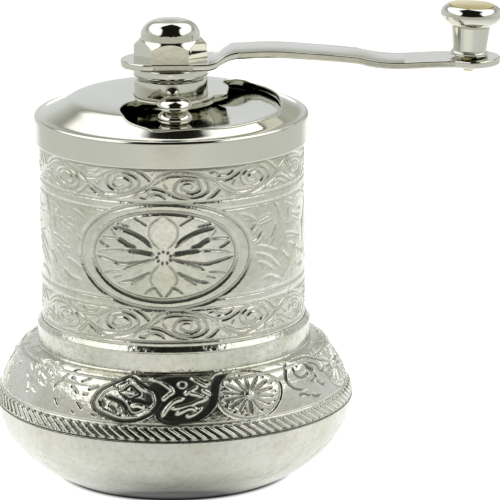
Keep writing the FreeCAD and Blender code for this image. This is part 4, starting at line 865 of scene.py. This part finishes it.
def leaf_ring(skin, centre):
    """Open ring with short strokes of a worn leaf in it."""
    carve(skin, centre, (
        [(-7.1, -0.9), (-7.0, 0.3), (-5.8, 1.8), (-4.3, 3.3), (-3.2, 4.4), (-1.6, 5.4)],
        [(-6.2, -2.3), (-5.4, -3.2), (-4.8, -3.7)], [(-1.1, -4.1), (-0.6, -4.5)],
        [(-0.8, 2.0), (0.2, 2.5), (1.3, 3.1)], [(1.4, 0.6), (2.4, 1.1), (3.4, 1.6)],
        [(-0.4, -2.2), (0.3, -2.8), (1.1, -3.5)], [(3.7, -4.1), (4.6, -4.4)],
        [(-3.4, 2.6), (-2.6, 2.2)], [(-3.0, 0.8), (-1.8, 0.2), (-0.8, -0.6)], [(0.6, -0.5), (1.4, -0.4)]),
        0.8, 0.28, 1.1)


# The belly's frieze over half a turn: angle, height and motif
BELLY = ((-56, 25.5, crossed_flower), (-33, 24.5, leaf_ring), (-16, 24.2, cartouche),
         (3.2, 24.4, leaf_scroll), (27.9, 24.5, ring_rosette), (53.5, 25.0, boss_scroll),
         (79, 24.5, ring_rosette), (102, 24.5, leaf_ring))
# Lines cut all the way round the housing: height, width, depth and shade. The lowest, at the seam above the
# bowl, is painted black all round: painted shade in the gap between the housing and the bowl.
HOUSING_LINES = ((27.3, 0.8, 0.3, 0.9), (19.55, 0.5, 0.18, 0.8), (16.33, 0.36, 0.14, 6.0))


def shoulder(share, height):
    """A point of the shoulder, by its shares of the way out and up."""
    return COLLAR_RADIUS + (HOUSING_RADIUS - COLLAR_RADIUS) * share, HOUSING_LOW + HOUSING_RISE * height


def housing_side():
    """The housing's outer line, from its lower edge up to the collar."""
    start = (HOUSING_RADIUS, HOUSING_LOW)
    middle = shoulder(0.5341, 0.745)
    line = [start] + arc(start, shoulder(0.8352, 0.375), middle, 60)
    return line + arc(middle, shoulder(0.3409, 0.905), (COLLAR_RADIUS + 0.2, COLLAR_LOW), 40)


def dress_housing():
    """The housing in three engraved rings and a plain collar."""
    skin = Skin(housing_side(), HOUSING_ROWS, HOUSING_COLUMNS)
    rope_grooves(skin)
    for turn in (0, 180):
        for angle, height, motif in BELLY:
            motif(skin, (turn + angle, height))
    for line in HOUSING_LINES:
        skin.ring(*line)
    low, high = (int(np.searchsorted(skin.rows[:, 1], height)) for height in (ROPE_TOP, FRIEZE_TOP))
    low_inside, high_inside = (tuple(skin.rows[row] - INSET) for row in (low, high))
    recess = [low_inside, (33.7, RECESS_TOP), (RECESS_RADIUS, RECESS_TOP), (RECESS_RADIUS, HOUSING_LOW)]
    for name, first, last, rest in (
            ("housing_rope", 0, low, recess),
            ("housing_frieze", low, high, [high_inside, low_inside]),
            ("housing_shoulder", high, HOUSING_ROWS - 1, [WALL_TOP, high_inside])):
        turned_piece(name, skin, first, last, rest, "mill", "burr_housing")
    rope_strands(skin)
    side = [(COLLAR_RADIUS + 0.2, COLLAR_LOW), (COLLAR_RADIUS, 28.35), (COLLAR_RADIUS, COLLAR_LIP)]
    side += arc(side[-1], (28.12, 32.35), (COLLAR_RADIUS, 32.6), 6) + [(27.45, COLLAR_SLOPE)]
    side += arc(side[-1], (27.36, 33.38), (27.2, COLLAR_TOP), 4)
    collar = Skin(side, COLLAR_ROWS, COLLAR_COLUMNS)
    seat = [(SEAT_RADIUS, COLLAR_TOP), (SEAT_RADIUS, SEAT_HEIGHT), (CHUTE_RADIUS, SEAT_HEIGHT),
            (CHUTE_RADIUS, CHUTE_LOW), WALL_TOP]
    turned_piece("housing_collar", collar, 0, COLLAR_ROWS - 1, seat, "mill", "burr_housing")


# Ornament of the catch bowl

BOWL_RADIUS, BOWL_TOP, BOWL_ROWS, BOWL_COLUMNS = 36.4, 15.85, 86, 840
BOWL_WIDEST, BOWL_DEEP = 16.0, 20.55
BOWL_WALL, BOWL_FLOOR, BOWL_HOLLOW_TOP = 1.5, 2.0, 12.55
SPIGOT_RADIUS, SPIGOT_BORE, SPIGOT_TOP = 34.0, 32.9, 19.6
FOOT_RECESS_RADIUS, FOOT_RECESS = 18.0, 0.5
BOWL_SCROLLS, SCROLL_HEIGHT = 9, 8.0
# Painted shade on the bowl by height: a little all over and much darker towards the foot, for the reflected
# shadow under it
FOOT_SHADE_HEIGHTS, FOOT_SHADE = [0, 1.6, 3.8, 9.0, BOWL_TOP], [2.0, 1.7, 0.85, 0.2, 0.13]


def bowl_side(low, high, inset, count):
    """The bowl's round side between two heights, some way inside its outer face."""
    heights = np.linspace(low, high, count)
    share = (BOWL_WIDEST - heights) / (BOWL_DEEP - inset)
    return np.stack([(BOWL_RADIUS - inset) * np.sqrt(1 - share ** 2), heights], 1)


def dress_bowl():
    """The bowl with its faint, worn scrolls, and painted shade that darkens it towards its foot."""
    skin = Skin(bowl_side(0, BOWL_TOP, 0, 90), BOWL_ROWS, BOWL_COLUMNS)
    for number in range(BOWL_SCROLLS):
        centre = (360 / BOWL_SCROLLS * number + 30, SCROLL_HEIGHT)
        for points in ([(-9.5, -3.4), (-5.0, 0.4), (0.0, 1.6), (5.2, 0.6), (9.0, -2.4)],
                       [(-4.0, 3.8), (1.0, 4.9), (6.4, 4.0), (10.4, 1.4)],
                       [(2.6, -4.8), (6.4, -3.0), (9.8, 0.6), (11.0, 4.2)],
                       [(-2.8, -1.0), (0.2, -2.6), (3.8, -2.2), (5.0, -0.4)]):
            skin.line(centre, sweep(points), 0.9, 0.11, 0.1)
    # Painted shade, darker towards the foot
    foot_shade = np.interp(skin.rows[:, 1], FOOT_SHADE_HEIGHTS, FOOT_SHADE)
    np.maximum(skin.shade, foot_shade[:, None], out=skin.shade)
    rest = [(SPIGOT_RADIUS, BOWL_TOP), (SPIGOT_RADIUS, SPIGOT_TOP), (SPIGOT_BORE, SPIGOT_TOP),
            (SPIGOT_BORE, 13.65)]
    rest += [tuple(point) for point in bowl_side(BOWL_FLOOR, BOWL_HOLLOW_TOP, BOWL_WALL, 20)[::-1]]
    rest += [(0, BOWL_FLOOR), (0, FOOT_RECESS), (FOOT_RECESS_RADIUS, FOOT_RECESS), (FOOT_RECESS_RADIUS, 0)]
    turned_piece("bowl_skin", skin, 0, BOWL_ROWS - 1, rest, "bowl", "catch_bowl")


# Spring


def coil_spring():
    """The burr's spring, copied from its part; it is not shortened towards its fixed top when the grind
    setting lifts the spindle.
    """
    coils = link_piece("coil_spring", nodes["burr_spring"].data.copy())
    attach(coils, "mill", "spring_steel", "burr_spring")
    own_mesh(coils)


# Edges of the crank's pieces

ROUNDED = {"crank_arm": 0.4, "crank_hub": 0.3, "dome_nut": 0.2}
SAME_POINT = 0.01


def round_edges():
    """Soft edges on the crank's arm, hub and nut."""
    for name, edge in ROUNDED.items():
        weld = nodes[name].modifiers.new("weld", "WELD")
        weld.merge_threshold = SAME_POINT * MM
        rounding = nodes[name].modifiers.new("edges", "BEVEL")
        rounding.limit_method, rounding.angle_limit = "ANGLE", math.radians(40)
        rounding.width, rounding.segments = edge * MM, 3


# Finishes

# Colour, worn colour, roughness, its spread, scale of the wear, strength of the grain and its scale
METALS = {"polished_nickel": ((0.69, 0.69, 0.62), (0.64, 0.64, 0.56), 0.08, 0.03, 70.0, 0.05, 600.0),
          "brass": ((0.86, 0.74, 0.36), (0.80, 0.66, 0.30), 0.14, 0.04, 200.0, 0.08, 800.0),
          "bright_steel": ((0.58, 0.58, 0.56), (0.58, 0.58, 0.56), 0.24, 0.06, 200.0, 0.2, 1500.0),
          "spring_steel": ((0.42, 0.42, 0.42), (0.42, 0.42, 0.42), 0.32, 0.06, 200.0, 0.2, 1500.0),
          "burr_steel": ((0.30, 0.30, 0.30), (0.30, 0.30, 0.30), 0.42, 0.08, 300.0, 0.4, 1200.0),
          "cast_carrier": ((0.60, 0.60, 0.59), (0.60, 0.60, 0.59), 0.5, 0.08, 300.0, 0.6, 700.0)}
FINISHES = {name: metal(name, *look) for name, look in METALS.items()}
FINISHES["engraved_nickel"] = engraved_metal(
    "engraved_nickel", colour(0.72, 0.72, 0.65), colour(0.60, 0.61, 0.51), colour(0.015, 0.014, 0.01), 0.16)
for part in frame["record"]["subparts"]:
    coat(nodes[part["node"]].data, part["material_slot"])

dress_barrel()
build_cap()
shutter_plate()
finial()
slot_lip()
round_edges()
dress_housing()
dress_bowl()
coil_spring()


# Studio. Its lengths are in metres.

TABLE_RADIUS = 12.0


def studio_floor():
    """Table that glows, with painted light and shade in its glow: palest behind and beside the mill, greyer
    in front, and a painted black shadow right round its foot.
    """
    finish = Finish(bpy.data.materials.new("painted_glow_table"))
    x, y, _ = finish.parts(finish.place())
    near_far = (y + 0.5) * (1 / 0.54)
    # Painted glow in front, greyer and with darker bands: painted light and painted shade for the mill to
    # reflect
    ahead = finish.curve(near_far, [
        (0.0, (0.9, 0.88, 0.78)), (0.13, (0.8, 0.77, 0.65)), (0.19, (0.1, 0.09, 0.05)),
        (0.24, (0.2, 0.19, 0.12)), (0.29, (0.52, 0.52, 0.46)), (0.37, (0.66, 0.66, 0.60)),
        (0.5, (0.76, 0.76, 0.70)), (0.6, (0.80, 0.80, 0.75)), (0.68, (0.6, 0.6, 0.57)),
        (0.83, (0.75, 0.75, 0.75)), (0.9, (1.0, 1.0, 1.0))])
    wide = x.size()
    past = y.work("MAXIMUM", y + 0.1, 0.0)
    aside = finish.grade(wide - past * 0.25, 0.06, 0.14)
    sides = finish.curve(wide, [(0.15, (0.56, 0.57, 0.56)), (0.28, (0.52, 0.53, 0.51))])
    glow = finish.mix(aside, ahead, sides)
    # Painted black contact shadow right round the mill's foot
    foot_shadow = finish.grade((x * x + y * y) * 400.0, 0.215, 0.245)
    glow = finish.mix(foot_shadow, colour(0.0, 0.0, 0.0), glow)
    surface = finish.node("ShaderNodeBsdfPrincipled", sockets={
        "Base Color": colour(0.3, 0.3, 0.3), "Roughness": 0.9,
        "Specular IOR Level": 0.0, "Emission Color": glow, "Emission Strength": 1.0})
    finish.node("ShaderNodeOutputMaterial", sockets={"Surface": surface})
    mesh = bpy.data.meshes.new("table_top")
    rim = [(TABLE_RADIUS * math.cos(t), TABLE_RADIUS * math.sin(t), 0) for t in full_turn(64)]
    mesh.from_pydata(rim, [], [list(range(len(rim)))])
    mesh.materials.append(finish.holder)
    link_piece("table_top", mesh)


def studio_light():
    """Pale room, soft boxes high on both sides, and the dark gap between them over the camera."""
    world = bpy.data.worlds.new("pale_room")
    bpy.context.scene.world = world
    finish = Finish(world)
    x, y, z = finish.parts(finish.node("ShaderNodeTexCoord", output="Generated"))
    past_top = y.work("MAXIMUM", y - 0.2, 0.0)
    reach = (x - 0.02).size() + z * 0.6 + past_top * 1.1
    dark = finish.grade(reach, 0.91, 0.98, 1.0, 0.0)
    above = finish.grade(z, 0.36, 0.46)
    boxes = finish.grade(z, 0.52, 0.6)
    near = finish.grade(y, 0.66, 0.86, 1.0, 0.0)
    room = finish.curve(y * 0.5 + 0.5, [(0.35, (0.62, 0.62, 0.56)), (0.75, (0.80, 0.82, 0.84))])
    streak = finish.grade(z, 0.26, 0.5) * finish.grade(y, 0.2, 0.5)
    room = finish.mix(streak, room, colour(0.42, 0.42, 0.38))
    right_back = finish.grade(x, 0.06, 0.2) * finish.grade(y, 0.8, 0.92)
    room = finish.mix(right_back, room, colour(0.5, 0.5, 0.44))
    lit = finish.mix(boxes * near, room, colour(1.75, 1.75, 1.75))
    shade = finish.mix(dark * above, lit, colour(0.012, 0.011, 0.008))
    surface = finish.node("ShaderNodeBackground", sockets={"Color": shade, "Strength": 1.0})
    finish.node("ShaderNodeOutputWorld", sockets={"Surface": surface})


CAMERA_TILT, CAMERA_ROLL, CAMERA_AWAY, CAMERA_LENS = 14.48, 0.45, 1.028, 360.0
AIM_HEIGHT, AIM_RIGHT, AIM_DOWN = 0.04682, 0.01586, 0.00039


def set_camera():
    """A far camera in front of the mill, a little above it."""
    tilt, roll = math.radians(CAMERA_TILT), math.radians(CAMERA_ROLL)
    right = Vector((1, 0, 0))
    up = Vector((0, math.sin(tilt), math.cos(tilt)))
    back = Vector((0, -math.cos(tilt), math.sin(tilt)))
    aim = Vector((0, 0, AIM_HEIGHT)) + right * AIM_RIGHT - up * AIM_DOWN
    across = right * math.cos(roll) - up * math.sin(roll)
    upright = right * math.sin(roll) + up * math.cos(roll)
    camera = bpy.data.objects.new("camera", bpy.data.cameras.new("camera"))
    camera.data.lens, camera.data.sensor_width = CAMERA_LENS, 36.0
    camera.data.clip_start, camera.data.clip_end = 0.05, 50.0
    turn = Matrix((across, upright, back)).transposed().to_4x4()
    camera.matrix_world = Matrix.Translation(aim + back * CAMERA_AWAY) @ turn
    bpy.context.scene.collection.objects.link(camera)
    bpy.context.scene.camera = camera


studio_floor()
studio_light()
set_camera()
bpy.context.scene.view_settings.view_transform = "Standard"
